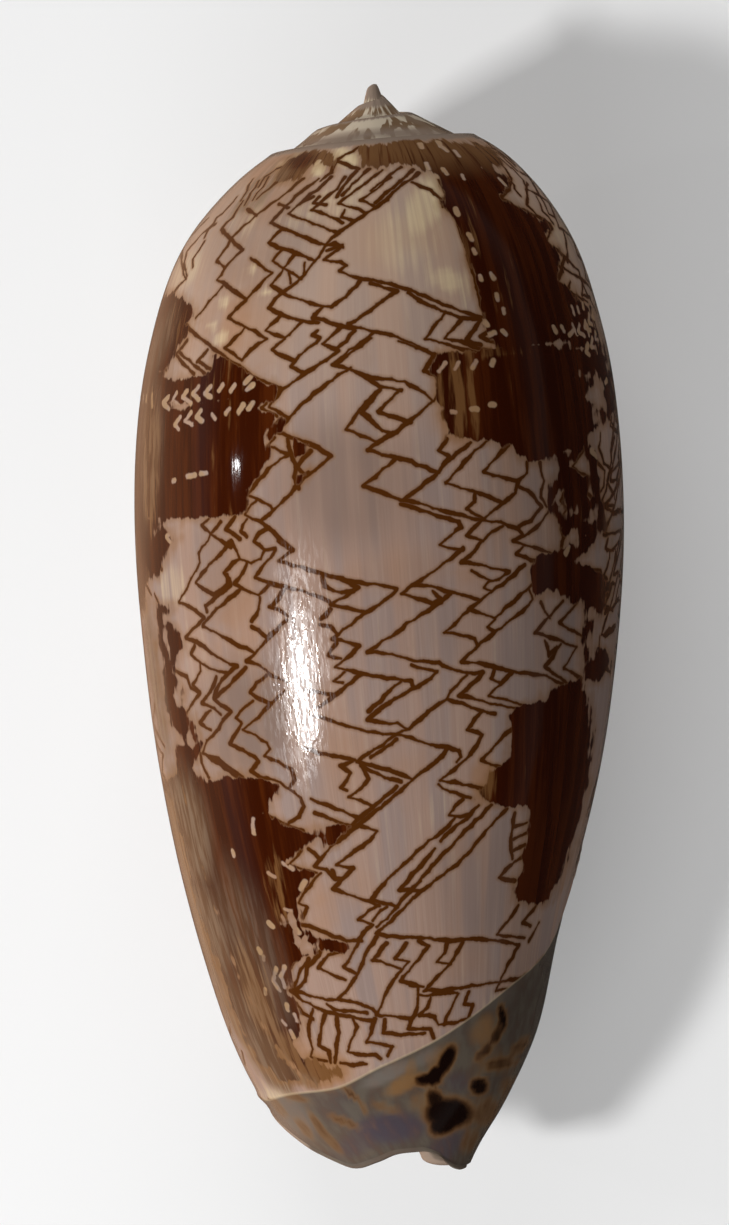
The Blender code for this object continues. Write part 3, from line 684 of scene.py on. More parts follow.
        (428, 840), (410, 857), (396, 870), (382, 884), (371, 899), (382, 902), (396, 906)], [(478, 804), (466, 818),
        (450, 830), (440, 840)], [(434, 848), (424, 860), (412, 873), (399, 889), (410, 889), (418, 890)],
        [(490, 804), (480, 816), (464, 830), (450, 846), (436, 860), (422, 876), (412, 888)], [(506, 808), (496, 818),
        (482, 834), (470, 850), (456, 864), (436, 878), (420, 890), (406, 904), (390, 920), (376, 932), (386, 935),
        (400, 936), (420, 937), (450, 940), (470, 938), (490, 939), (510, 942), (518, 944)], [(420, 880), (408, 892),
        (396, 906), (386, 918), (376, 926)], [(386, 906), (376, 914), (372, 920)], [(378, 904), (368, 910),
        (357, 919), (370, 923)], [(372, 924), (362, 932), (358, 940), (352, 952), (343, 966), (354, 972)],
        [(302, 924), (318, 929), (332, 935), (346, 940), (360, 940)], [(518, 904), (510, 916), (502, 926), (496, 934),
        (510, 935), (524, 937)], [(536, 904), (522, 922), (530, 925)], [(538, 922), (528, 940)], [(522, 856),
        (510, 864), (498, 877), (514, 880)], [(514, 812), (512, 826), (510, 840), (512, 858)], [(514, 826),
        (526, 822)], [(513, 838), (526, 832)], [(512, 850), (524, 844)],
    ],
    "lowest": [
        [(376, 936), (364, 954), (360, 966), (350, 984), (337, 998)], [(340, 950), (328, 954), (318, 967), (330, 973),
        (344, 979)], [(320, 950), (318, 954), (306, 966), (304, 980), (294, 990), (310, 995), (326, 999), (340, 999),
        (356, 1002), (372, 1008), (378, 1014)], [(308, 958), (300, 968), (296, 980), (290, 990), (302, 1000),
        (314, 1006), (326, 1011), (340, 1014), (360, 1018), (372, 1020)], [(298, 956), (290, 966), (282, 976),
        (280, 986)], [(386, 942), (372, 959), (386, 963), (400, 968)], [(406, 942), (394, 958), (408, 961),
        (400, 970), (392, 980), (384, 994), (380, 1006), (376, 1014), (390, 1015), (410, 1018)], [(418, 940),
        (428, 945), (418, 958), (408, 970), (400, 980), (410, 982), (422, 986)], [(446, 942), (444, 952), (436, 961),
        (450, 963)], [(462, 942), (456, 952), (448, 964), (434, 978), (423, 990), (440, 990), (460, 987), (480, 984),
        (500, 981), (518, 978), (530, 970), (542, 956)], [(518, 944), (512, 956), (504, 970), (495, 990), (510, 987),
        (522, 980)], [(410, 984), (418, 986), (417, 994), (426, 995), (440, 992), (456, 992)], [(417, 994),
        (417, 1006), (410, 1020), (408, 1028), (430, 1028), (433, 1037)], [(430, 996), (426, 1006), (419, 1014),
        (434, 1016), (437, 1023)], [(457, 993), (450, 1008), (443, 1024)], [(438, 1024), (454, 1022), (470, 1017)],
        [(468, 991), (463, 1003), (472, 1004), (468, 1016)], [(385, 1018), (382, 1032), (400, 1034), (424, 1032)],
        [(374, 1018), (370, 1032), (366, 1041), (380, 1043), (391, 1046), (387, 1055)], [(352, 1018), (356, 1026),
        (350, 1040), (347, 1051), (360, 1054), (374, 1054), (380, 1058)], [(336, 1016), (338, 1032), (336, 1044),
        (334, 1062)], [(324, 1014), (320, 1032), (318, 1045), (328, 1050), (330, 1062)], [(312, 1008), (308, 1024),
        (308, 1036), (312, 1048), (310, 1056), (326, 1060)], [(340, 1062), (352, 1064), (366, 1063)], [(326, 1003),
        (334, 1009), (352, 1010), (366, 1012)], [(296, 1002), (302, 1012), (312, 1018)],
    ],
}

# Dark brown patches on the back, by their outlines.
darkPatches = {
    "rightShoulder": [(440, 168), (470, 160), (500, 172), (510, 180), (507, 190), (499, 197), (524, 209), (540, 218),
        (551, 226), (546, 240), (562, 254), (558, 278), (576, 296), (592, 310), (598, 330), (606, 356), (598, 350),
        (572, 345), (555, 340), (535, 345), (515, 345), (500, 350), (490, 340), (484, 316), (480, 304), (476, 286),
        (470, 264), (463, 240), (456, 220), (447, 209), (441, 203), (445, 194), (438, 179)],
    "rightBand": [(440, 352), (470, 352), (500, 345), (530, 342), (560, 346), (590, 350), (606, 356), (612, 380),
        (615, 414), (604, 424), (592, 430), (590, 445), (576, 456), (560, 450), (545, 460), (528, 462), (515, 450),
        (500, 444), (486, 440), (470, 442), (455, 434), (446, 438), (447, 428), (440, 406), (432, 400), (438, 392),
        (436, 376), (428, 370), (434, 358)],
    "rightNet": [(558, 452), (578, 455), (590, 440), (596, 455), (600, 480), (602, 500), (606, 526), (600, 536),
        (590, 548), (572, 562), (586, 566), (600, 572), (613, 584), (604, 612), (598, 616), (590, 630), (586, 640),
        (604, 650), (612, 662), (600, 680), (582, 682), (586, 655), (580, 640), (586, 620), (582, 603), (568, 600),
        (556, 590), (556, 556), (562, 545), (560, 525), (548, 505), (552, 480), (562, 470)],
    "rightSpot": [(534, 558), (546, 552), (558, 556), (570, 558), (584, 548), (572, 572), (566, 588), (560, 590),
        (546, 592), (534, 596), (530, 580), (532, 566)],
    "rightLower": [(510, 714), (522, 704), (540, 702), (562, 684), (580, 680), (590, 700), (592, 740), (588, 780),
        (580, 820), (570, 850), (560, 880), (548, 900), (534, 905), (518, 903), (514, 890), (514, 880), (524, 876),
        (526, 862), (522, 856), (527, 840), (530, 812), (524, 806), (508, 809), (490, 802), (474, 802), (482, 798),
        (478, 790), (491, 780), (492, 770), (500, 766), (510, 762)],
    "shoulderLeft": [(288, 158), (314, 149), (328, 150), (338, 160), (332, 170), (322, 163), (312, 166), (300, 178),
        (286, 182), (276, 180), (280, 168)],
    "shoulderTop": [(358, 146), (380, 143), (420, 140), (455, 141), (490, 145), (505, 165), (470, 172), (440, 176),
        (425, 170), (400, 162), (380, 168), (362, 166)],
    "leftUpper": [(172, 293), (182, 298), (190, 305), (195, 317), (186, 324), (190, 329), (186, 338), (176, 352),
        (168, 372), (156, 372), (152, 350), (158, 320), (164, 300)],
    "leftComb": [(214, 352), (226, 358), (240, 366), (252, 377), (268, 383), (280, 388), (262, 406), (250, 404),
        (232, 400), (214, 404), (196, 402), (180, 404), (160, 398), (150, 388), (156, 376), (172, 380), (196, 376),
        (214, 372)],
    "leftBand": [(150, 406), (180, 410), (200, 404), (220, 402), (245, 402), (262, 408), (276, 416), (268, 430),
        (266, 446), (274, 452), (262, 470), (246, 494), (250, 505), (240, 514), (222, 517), (200, 518), (180, 520),
        (160, 520), (144, 516), (142, 470), (144, 430)],
    "leftRim": [(174, 296), (166, 330), (160, 372), (170, 380), (166, 410), (152, 420), (150, 520), (162, 527),
        (150, 548), (146, 580), (146, 610), (126, 610), (126, 400), (150, 296)],
    "leftFlank": [(182, 778), (196, 830), (210, 890), (226, 940), (246, 990), (262, 1028), (288, 1064), (306, 1082),
        (280, 1080), (256, 1058), (236, 1020), (220, 970), (200, 915), (186, 860), (172, 800), (164, 778)],
    "leftEdge": [(144, 540), (160, 528), (176, 536), (168, 552), (161, 566), (158, 578), (148, 578)],
    "leftSliver": [(156, 602), (163, 603), (172, 606), (166, 620), (176, 630), (184, 636), (182, 650), (172, 666),
        (176, 678), (184, 690), (181, 706), (190, 716), (196, 730), (203, 742), (198, 752), (184, 744), (172, 726),
        (166, 700), (162, 660), (158, 630)],
    "leftFoot": [(176, 745), (190, 742), (198, 752), (192, 770), (204, 778), (176, 778)],
    "leftLower": [(180, 780), (210, 780), (232, 778), (244, 776), (262, 777), (282, 788), (270, 802), (261, 812),
        (286, 824), (302, 830), (318, 830), (326, 826), (340, 824), (330, 840), (316, 838), (306, 842), (300, 850),
        (288, 864), (300, 868), (316, 872), (304, 888), (296, 902), (300, 915), (303, 935), (320, 944), (318, 954),
        (298, 958), (290, 975), (288, 992), (298, 1004), (304, 1022), (300, 1034), (292, 1044), (300, 1056),
        (316, 1060), (330, 1068), (342, 1066), (346, 1075), (330, 1081), (318, 1085), (308, 1080), (290, 1062),
        (270, 1040), (256, 1010), (240, 980), (226, 940), (212, 900), (198, 860), (186, 820)],
    "centreComb": [(300, 930), (318, 936), (338, 942), (352, 946), (344, 954), (326, 950), (312, 956), (298, 950),
        (290, 940), (284, 926)],
    "wedgeA": [(284, 420), (288, 418), (276, 436), (268, 444), (266, 432)],
    "wedgeB": [(290, 438), (300, 442), (312, 446), (306, 454), (298, 462), (293, 456)],
    "wedgeC": [(296, 472), (304, 474), (310, 470), (302, 482), (296, 484)],
    "wedgeD": [(326, 830), (340, 826), (350, 826), (334, 844), (326, 846), (318, 836)],
}

# Pale cells that stay open in the dark patches.
paleCells = [
    [(550, 460), (556, 449), (558, 461)], [(571, 465), (584, 446), (589, 478)], [(585, 496), (588, 485), (592, 497)],
    [(553, 500), (561, 488), (564, 506)], [(568, 512), (574, 502), (578, 514)], [(585, 518), (594, 506), (596, 523)],
    [(558, 521), (564, 512), (569, 524)], [(567, 537), (577, 526), (580, 549)], [(584, 538), (588, 528), (591, 541)],
    [(560, 550), (566, 542), (570, 551)], [(566, 596), (569, 589), (572, 597)], [(588, 621), (592, 607), (596, 621)],
    [(589, 660), (592, 645), (597, 660)], [(588, 397), (597, 369), (603, 386), (607, 416)], [(576, 381), (579, 371),
    (583, 382)], [(585, 374), (589, 373), (590, 384)], [(592, 413), (596, 410), (600, 422), (595, 424)], [(160, 640),
    (165, 628), (170, 658)], [(165, 618), (168, 606), (176, 614), (172, 624)], [(173, 702), (178, 680), (184, 690),
    (182, 706)], [(186, 742), (189, 730), (198, 738), (197, 750)], [(274, 922), (281, 915), (284, 927)], [(285, 921),
    (290, 914), (301, 922), (297, 931)], [(288, 940), (296, 937), (318, 948), (314, 954), (300, 952)],
]

# Small pale hooks and dots in the dark patches.
paleMarks = [
    [(445, 362), (438, 370)], [(458, 362), (454, 368)], [(475, 360), (472, 366)], [(493, 360), (491, 364)],
    [(455, 208), (457, 213)], [(468, 234), (471, 239)], [(473, 249), (474, 252)], [(479, 275), (480, 278)],
    [(490, 273), (493, 277)], [(496, 294), (497, 299)], [(502, 308), (503, 312)], [(484, 321), (487, 324)],
    [(488, 334), (494, 332)], [(502, 330), (505, 333)], [(553, 326), (555, 331)], [(561, 326), (563, 330)],
    [(572, 324), (576, 333)], [(586, 324), (588, 334)], [(451, 411), (455, 411)], [(471, 408), (476, 408)],
    [(490, 404), (493, 404)], [(166, 368), (168, 376)], [(175, 370), (174, 378)], [(182, 371), (181, 377)],
    [(192, 368), (190, 374)], [(168, 396), (162, 402), (168, 408)], [(176, 392), (172, 399), (178, 405)], [(186, 390),
    (182, 396), (190, 402)], [(198, 386), (192, 393), (198, 398)], [(210, 386), (204, 392), (210, 396)], [(222, 384),
    (218, 390)], [(234, 384), (230, 390)], [(250, 376), (244, 382)], [(252, 384), (246, 389)], [(180, 416),
    (174, 424), (178, 428)], [(190, 412), (184, 420), (192, 424)], [(200, 410), (196, 416), (202, 420)], [(211, 413),
    (214, 418)], [(229, 408), (225, 412)], [(242, 404), (238, 411)], [(252, 402), (248, 408)], [(172, 480),
    (174, 480)], [(186, 475), (194, 474)], [(200, 472), (206, 472)], [(174, 528), (166, 536), (172, 544)],
    [(188, 524), (178, 534)], [(252, 818), (253, 832)], [(232, 850), (233, 855)], [(258, 948), (260, 952)],
    [(263, 956), (263, 959)], [(264, 989), (265, 993)], [(286, 1004), (287, 1009)], [(294, 1014), (296, 1020)],
    [(282, 1020), (285, 1024)], [(290, 1030), (293, 1037)], [(303, 1026), (302, 1036)], [(300, 1046), (303, 1054)],
    [(275, 968), (273, 980), (279, 990)], [(284, 966), (280, 976), (284, 986)], [(282, 862), (292, 868)], [(268, 872),
    (274, 876)], [(294, 926), (298, 932)], [(284, 908), (290, 910)], [(268, 922), (272, 926)], [(304, 880),
    (300, 888)], [(540, 678), (544, 684)], [(536, 692), (542, 694)], [(502, 717), (506, 722)], [(568, 546),
    (565, 552)], [(437, 141), (440, 146)], [(420, 143), (421, 147)], [(426, 162), (428, 168)], [(441, 146),
    (446, 150)], [(454, 150), (458, 155)], [(443, 168), (446, 173)], [(461, 174), (463, 178)], [(318, 160),
    (312, 172)], [(498, 178), (504, 184)],
]

# The sides that the photograph doesn't show take the pattern of the back again, from further round.
sideCopies = [
    {"fromDeg": -125, "toDeg": 42, "turnDeg": 118, "facing": 0.56},
    {"fromDeg": 150, "toDeg": 226, "turnDeg": -128, "facing": 0.4},
]

# Soft colour, painted shade and wear, in pixels: centre, half length, half width, turn in degrees, strength.
softFields = {
    "wornMask": [
        (298, 660, 130, 44, 86, 1.0), (236, 470, 34, 12, 80, 0.2),
    ],
    "flameMask": [
        (449, 1113, 24, 15, 0, 1.0), (444, 1124, 15, 10, 30, 1.0), (428, 1080, 13, 6, 0, 1.0),
        (434, 1098, 10, 8, -60, 0.8), (479, 1086, 9, 9, 0, 0.9), (447, 1060, 16, 7, 66, 1.0),
        (435, 1075, 11, 7, 50, 1.0), (502, 1016, 13, 4, -80, 0.9), (497, 1034, 12, 5, 65, 0.75),
        (484, 1052, 12, 5, 40, 0.6), (520, 1046, 12, 5, 40, 0.5), (500, 1064, 18, 7, 10, 0.5),
        (350, 1093, 14, 3, -40, 0.5), (362, 1106, 10, 3, -60, 0.4), (345, 1122, 16, 4, -20, 0.42),
        (320, 1128, 20, 4, -55, 0.42), (332, 1142, 16, 4, -50, 0.38), (296, 1098, 16, 4, -15, 0.35),
        (304, 1128, 14, 4, -50, 0.35), (278, 1106, 14, 4, -50, 0.3), (512, 1090, 14, 12, 70, 0.35),
        (486, 1112, 16, 12, 50, 0.4), (470, 1140, 14, 8, 60, 0.3), (386, 1108, 14, 5, -20, 0.3),
    ],
    "goldMask": [
        (285, 195, 60, 22, 38, 0.6), (236, 310, 90, 40, 75, 0.5), (232, 590, 120, 40, 88, 0.45),
        (403, 1084, 20, 8, 30, 0.95), (411, 1070, 12, 6, 80, 0.7), (484, 1030, 17, 12, 60, 0.75),
        (440, 1060, 18, 12, 60, 0.5), (420, 1102, 12, 9, 30, 0.5), (490, 1060, 22, 12, 20, 0.3),
        (226, 220, 26, 10, 55, 0.3), (236, 322, 42, 15, 70, 0.85), (226, 292, 30, 10, 70, 0.4),
        (238, 610, 26, 16, 40, 0.75), (212, 640, 26, 8, -20, 0.35), (256, 690, 30, 12, 60, 0.5),
        (256, 370, 16, 10, -20, 0.4), (300, 196, 34, 16, 35, 0.5), (238, 762, 30, 16, -30, 0.5),
        (412, 764, 26, 14, 40, 0.3), (324, 910, 16, 26, 0, 0.45), (314, 822, 18, 10, 0, 0.4),
        (458, 400, 26, 50, 0, 0.8), (480, 352, 46, 8, 0, 0.7), (470, 250, 12, 60, 0, 0.5),
        (500, 290, 12, 50, -10, 0.4), (470, 576, 22, 8, -20, 0.4), (430, 300, 30, 8, -20, 0.3),
        (430, 512, 36, 6, -18, 0.3), (484, 780, 14, 24, 0, 0.9), (276, 890, 12, 40, 10, 0.7),
        (258, 1000, 14, 60, 20, 1.0), (322, 1070, 28, 18, 0, 1.3), (290, 1052, 16, 34, 40, 0.9),
        (225, 450, 16, 70, 0, 0.25), (180, 330, 14, 40, 15, 0.5), (150, 460, 10, 80, 0, 0.8),
        (270, 170, 30, 12, 30, 0.7),
    ],
    "violetMask": [
        (390, 1128, 36, 15, 5, 1.0), (360, 1142, 28, 12, 25, 0.6), (445, 1148, 26, 12, 40, 0.7),
        (330, 1100, 36, 22, -30, 0.2), (458, 1082, 12, 10, 0, 0.5), (320, 1081, 22, 4, 8, 0.5),
        (282, 151, 34, 4, 22, 0.8), (345, 138, 40, 5, 9, 1.0), (408, 133, 44, 5, 0, 1.0), (375, 96, 6, 4, 0, 0.8),
        (410, 118, 22, 3, -25, 0.4),
    ],
    "creamMask": [
        (224, 302, 9, 5, 80, 0.6), (221, 338, 10, 6, 60, 0.6), (266, 292, 6, 5, 0, 0.6), (212, 326, 6, 5, 0, 0.5),
        (256, 388, 8, 4, -20, 0.6), (252, 268, 8, 5, 40, 0.4), (247, 216, 26, 13, 50, 0.3),
        (330, 200, 16, 10, 0, 0.4), (302, 214, 24, 12, 35, 0.3), (345, 158, 14, 9, -20, 1.0),
        (319, 168, 9, 6, 60, 1.0), (302, 152, 10, 4, 30, 0.5), (352, 197, 34, 14, 40, 0.4),
        (425, 205, 18, 34, -20, 0.7), (400, 240, 34, 34, 0, 0.35), (447, 280, 20, 12, -20, 0.6),
        (432, 255, 5, 40, -10, 0.35), (465, 292, 5, 20, 0, 0.4), (186, 270, 12, 24, -30, 0.4),
        (172, 585, 16, 22, 0, 0.35), (560, 232, 20, 16, 0, 0.3), (440, 800, 12, 40, -30, 0.2),
        (500, 1000, 10, 20, -60, 0.3), (335, 136, 12, 4, 10, 0.6), (372, 122, 14, 5, 0, 0.6),
        (282, 165, 8, 4, 30, 0.6), (364, 150, 5, 8, 0, 0.7), (290, 1112, 36, 16, -45, 0.6),
        (388, 1074, 30, 8, 25, 0.8), (424, 1058, 20, 7, 30, 0.6),
    ],
    # Darker ovals: partly the shell's own darker cells, partly painted shade that dims broad areas of the back where
    # the lamps fall brightest.
    "darkTintAndShadeMask": [
        (300, 161, 15, 8, 25, 1.0), (345, 485, 70, 62, -10, 0.75), (240, 722, 62, 52, 60, 0.85),
        (262, 240, 60, 50, 60, 0.4), (225, 560, 60, 40, 80, 0.3), (478, 880, 60, 50, 60, 0.3),
        (400, 620, 60, 80, 60, 0.15),
    ],
    "umberMask": [
        (262, 188, 44, 12, 42, 0.5), (250, 960, 90, 30, -72, 0.5), (384, 127, 7, 3, 60, 0.9),
        (395, 125, 7, 3, 60, 0.9), (408, 122, 8, 3, 45, 0.8), (347, 122, 11, 3, 35, 0.9), (331, 130, 9, 3, 40, 0.9),
        (320, 137, 8, 2, 40, 0.8), (308, 141, 8, 2, 40, 0.7), (425, 126, 12, 4, -25, 0.6),
        (446, 130, 12, 3, -25, 0.6), (375, 88, 6, 5, 0, 0.5), (360, 112, 8, 4, 60, 0.6), (392, 110, 8, 3, -50, 0.6),
        (188, 830, 60, 20, -78, 0.95), (205, 930, 60, 20, -72, 0.9), (236, 1010, 54, 16, -62, 0.7),
        (150, 440, 80, 12, 88, 0.5), (160, 345, 40, 9, 70, 0.5), (268, 1058, 44, 16, -55, 0.85),
        (300, 1080, 24, 7, -20, 0.6), (156, 680, 90, 8, -82, 0.6), (610, 560, 90, 8, 90, 0.3),
        (570, 230, 60, 9, -60, 0.3),
    ],
}

dice = random.Random(11)


def quadsOf(points):
    rows, columns = points.shape[:2]
    first = (np.arange(rows - 1)[:, None] * columns + np.arange(columns - 1)).ravel()
    return np.stack([first, first + 1, first + columns + 1, first + columns], axis=1)


def unitRows(vectors):
    return vectors / np.maximum(np.linalg.norm(vectors, axis=-1, keepdims=True), 1e-9)


# Faces of the two patterned sheets, each with flat axes that its strokes are drawn in.
patterned = {"spireSheet": spirePoints, "bodySheet": skinPoints}
spireTurned = np.broadcast_to(spireAngles, spireR.shape)
faceCorners = np.concatenate([points.reshape(-1, 3)[quadsOf(points)] for points in patterned.values()])
faceWinds = np.concatenate([np.stack([spireTurned, spireD], axis=-1).reshape(-1, 2)[quadsOf(spirePoints)],
                            np.stack([bodyTurned, bodyD], axis=-1).reshape(-1, 2)[quadsOf(skinPoints)]])
centres = faceCorners.mean(axis=1)
acrossAxis = unitRows(faceCorners[:, 1] + faceCorners[:, 2] - faceCorners[:, 0] - faceCorners[:, 3])
outAxis = unitRows(np.cross(faceCorners[:, 2] - faceCorners[:, 0], faceCorners[:, 3] - faceCorners[:, 1]))
downAxis = np.cross(outAxis, acrossAxis)
faceTree = KDTree(len(centres))
for number, centre in enumerate(centres):
    faceTree.insert(centre, number)
faceTree.balance()
bodyQuads = quadsOf(skinPoints) + spirePoints.shape[0] * spirePoints.shape[1]
skinTree = BVHTree.FromPolygons(np.concatenate([points.reshape(-1, 3) for points in patterned.values()]).tolist(),
                                np.concatenate([quadsOf(spirePoints), bodyQuads]).tolist())


def cornerSlopes(corners):
    # Half the way across a face and half the way down it.
    first, second, third, fourth = corners
    return 0.5 * np.stack([second - first + third - fourth, fourth - first + third - second])


def castPixel(x, y):
    # The place on the skin that a pixel of the photograph shows, with its winding angle and depth.
    x += photoView["handNudge"][0] - middlePixel[0]
    y += photoView["handNudge"][1] - middlePixel[1]
    aimed = rightWay * x * pixelMm - upWay * y * pixelMm - backWay * photoView["distance"]
    place, _, face, _ = skinTree.ray_cast(Vector(eyePlace), Vector(aimed).normalized())
    if place is None:
        return None
    place = np.array(place)
    shares = np.linalg.lstsq(cornerSlopes(faceCorners[face]).T, place - centres[face], rcond=None)[0]
    return place, faceWinds[face].mean(axis=0) + shares @ cornerSlopes(faceWinds[face])


def roughLine(points):
    # Splits a stroke into short pieces that waver, as a line laid down by a growing edge does.
    rough = []
    side = dice.choice((-1, 1))
    for (x0, y0), (x1, y1) in zip(points[:-1], points[1:]):
        length = math.hypot(x1 - x0, y1 - y0)
        pieces = max(1, round(length / tentMarks["pieceLength"]))
        for k in range(pieces):
            t = (k + (dice.uniform(-0.2, 0.2) if k else 0)) / pieces
            lean = side * dice.uniform(0.2, 1.0) * tentMarks["waver"] * (1 if k else 0.3) / length
            side = -side
            rough.append((x0 + (x1 - x0) * t - (y1 - y0) * lean, y0 + (y1 - y0) * t + (x1 - x0) * lean))
    rough.append(points[-1])
    return rough


def twinOf(angles, depths, turn):
    # The same place of the pattern further round: the depth keeps its share of the way to the band.
    return angles + turn, depths * bandAt(angles + turn) / bandAt(angles)


def onSkin(strokes):
    # The photograph's strokes on the skin, and again on the sides that it doesn't show.
    pieces = []
    for stroke in strokes:
        placed = [castPixel(x, y) for x, y in roughLine(stroke)]
        for start, end in zip(placed[:-1], placed[1:]):
            if not start or not end or np.linalg.norm(end[0] - start[0]) > tentMarks["longestStep"]:
                continue
            pieces.append((start[0], end[0]))
            if start[1][0] < bodyDeg:
                continue
            for copy in sideCopies:
                winds = np.array([start[1], end[1]])
                angles, depths = twinOf(winds[:, 0], winds[:, 1], -copy["turnDeg"])
                if not copy["fromDeg"] < angles.mean() < copy["toDeg"]:
                    continue
                first, last = windPoint(angles, skinRadius(angles, depths), depths)
                if outAxis[faceTree.find(first)[1]] @ backWay < copy["facing"]:
                    pieces.append((first, last))
    return pieces


def nearestStrokes(pieces, slots):
    # For every face its nearest strokes, each as a start and a run in the face's own axes.
    faces, gaps, records = [], [], []
    for start, end in pieces:
        middle = 0.5 * (start + end)
        run = end - start
        near = [found[1] for found in faceTree.find_range(middle, 0.5 * float(np.linalg.norm(run)) + 1.0)]
        if not near:
            continue
        away = start - centres[near]
        level = np.abs(np.einsum("ij,ij->i", middle - centres[near], outAxis[near]))
        x = np.einsum("ij,ij->i", away, acrossAxis[near])
        y = np.einsum("ij,ij->i", away, downAxis[near])
        dx = acrossAxis[near] @ run
        dy = downAxis[near] @ run
        t = np.clip(-(x * dx + y * dy) / np.maximum(dx * dx + dy * dy, 1e-9), 0, 1)
        gap = np.hypot(x + t * dx, y + t * dy)
        keep = (level < tentMarks["levelGap"]) & (gap < tentMarks["reach"])
        faces.append(np.array(near)[keep])
        gaps.append(gap[keep])
        records.append(np.stack([x, y, dx, dy], axis=1)[keep])
    faces = np.concatenate(faces)
    gaps = np.concatenate(gaps)
    order = np.lexsort((gaps, faces))
    faces = faces[order]
    records = np.concatenate(records)[order]
    rank = np.arange(len(faces)) - np.searchsorted(faces, faces)
    print("strokes", len(pieces), "most on one face", rank.max() + 1, "beyond the slots", int((rank >= slots).sum()))
    made = np.tile(tentMarks["emptySlot"], (slots, len(centres), 1))
    for slot in range(slots):
        made[slot, faces[rank == slot]] = records[rank == slot]
    return made


def insideOutline(x, y, outline):
    # Distance to an outline in mm, positive inside it.
    inside = np.zeros(x.shape, bool)
    distance = np.full(x.shape, 1e6)
    for (x0, y0), (x1, y1) in zip(outline, outline[1:] + outline[:1]):
        dx, dy = x1 - x0, y1 - y0
        t = np.clip(((x - x0) * dx + (y - y0) * dy) / (dx * dx + dy * dy), 0, 1)
        distance = np.minimum(distance, np.hypot(x - x0 - t * dx, y - y0 - t * dy))
        if dy:
            inside ^= ((y0 > y) != (y1 > y)) & (x < x0 + (y - y0) * dx / dy)
    return np.where(inside, distance, -distance) * pixelMm


def softBlots(x, y, blots):
    # Soft ovals: centre, half length, half width, turn in degrees, strength.
    total = np.zeros(x.shape)
    for cx, cy, halfLong, halfWide, turn, strength in blots:
        lean = math.radians(turn)
        along = ((x - cx) * math.cos(lean) - (y - cy) * math.sin(lean)) / halfLong
        aside = ((x - cx) * math.sin(lean) + (y - cy) * math.cos(lean)) / halfWide
        total = np.maximum(total, strength * (1 - softStep(0.5, 1.5, np.hypot(along, aside))))
    return total


# The strokes that each face of both sheets keeps.
inkSlots = nearestStrokes(onSkin([stroke for region in tentStrokes.values() for stroke in region]),
                          tentMarks["inkSlots"])
paleSlots = nearestStrokes(onSkin(paleMarks), tentMarks["paleSlots"])

# Towards the siphon the inside takes the band's grey.
mouthTint = {"fromDepth": 78.0, "toDepth": 85.0, "share": 0.95}


def mouthShare(depth):
    # How much the inside keeps of its own colour.
    return 1 - mouthTint["share"] * softStep(mouthTint["fromDepth"], mouthTint["toDepth"], depth)


def skinValues(angles, depth, points, onBody):
    # Soft colour fields at every point of a patterned sheet.
    steps = np.linalg.norm(np.diff(points, axis=0), axis=2)
    run = np.concatenate([np.zeros((1, points.shape[1])), np.cumsum(steps, axis=0)])
    x, y = toPixels(points)
    normal = unitRows(np.cross(np.gradient(points, axis=1), np.gradient(points, axis=0)))
    seen = normal @ backWay > tentMarks["facing"]
    farOut = np.full(depth.shape, tentMarks["farOut"])
    values = {"patch": farOut, "bandLine": farOut, "inner": np.zeros(depth.shape)}
    if onBody:
        for copy in sideCopies:
            angleTwin, depthTwin = twinOf(angles, depth, copy["turnDeg"])
            twins = windPoint(angleTwin, skinRadius(angleTwin, depthTwin), depthTwin)
            hidden = ~seen & (angles > copy["fromDeg"]) & (angles < copy["toDeg"])
            xTwin, yTwin = toPixels(twins)
            x, y = np.where(hidden, xTwin, x), np.where(hidden, yTwin, y)
            seen = seen | hidden
        for outline in darkPatches.values():
            values["patch"] = np.maximum(values["patch"], np.where(seen, insideOutline(x, y, outline), farOut))
        for outline in paleCells:
            values["patch"] = np.minimum(values["patch"], -np.where(seen, insideOutline(x, y, outline), farOut))
        values["bandLine"] = depth - bandAt(angles)
        callus = 1 - softStep(bodyDeg + 16, bodyDeg + 30, angles + 3 * np.sin(depth * 0.22) + 0.12 * (60 - depth))
        values["inner"] = callus * softStep(9, 16, depth) * mouthShare(depth)
    for name, blots in softFields.items():
        values[name] = np.where(seen, softBlots(x, y, blots), 0.0)
    values["wind"] = np.stack([angles * tentMarks["mmPerDeg"], depth, run], axis=-1)
    return values


def addSheet(name, points, mapBox):
    # One flat grid, rolled to its place, with its share of the baking map.
    rows, columns = points.shape[:2]
    bpy.ops.object.select_all(action="DESELECT")
    bpy.ops.mesh.primitive_grid_add(x_subdivisions=columns - 1, y_subdivisions=rows - 1, size=0.05)
    sheet = bpy.context.active_object
    sheet.name = name
    mesh = sheet.data
    mesh.vertices.foreach_set("co", layDown(points).reshape(-1))
    mesh.update()
    u, v = np.meshgrid(np.linspace(0, 1, columns), np.linspace(1, 0, rows))
    if name == "spireSheet":
        reach = 1.02 * np.abs(points[..., [0, 2]]).max()
        u = 0.5 + 0.5 * points[..., 0] / reach
        v = 0.5 - 0.5 * points[..., 2] / reach
    left, bottom, right, top = mapBox
    flat = np.stack([left + (right - left) * u, bottom + (top - bottom) * v], axis=-1).reshape(-1, 2)
    loops = np.zeros(len(mesh.loops), int)
    mesh.loops.foreach_get("vertex_index", loops)
    mesh.uv_layers[0].name = "OFBake"
    mesh.uv_layers[0].data.foreach_set("uv", flat[loops].reshape(-1))
    return sheet, loops


def giveCorners(sheet, name, values):
    layer = sheet.data.attributes.new(name, "FLOAT_VECTOR" if values.ndim == 2 else "FLOAT", "CORNER")
    layer.data.foreach_set("vector" if values.ndim == 2 else "value", values.reshape(-1))


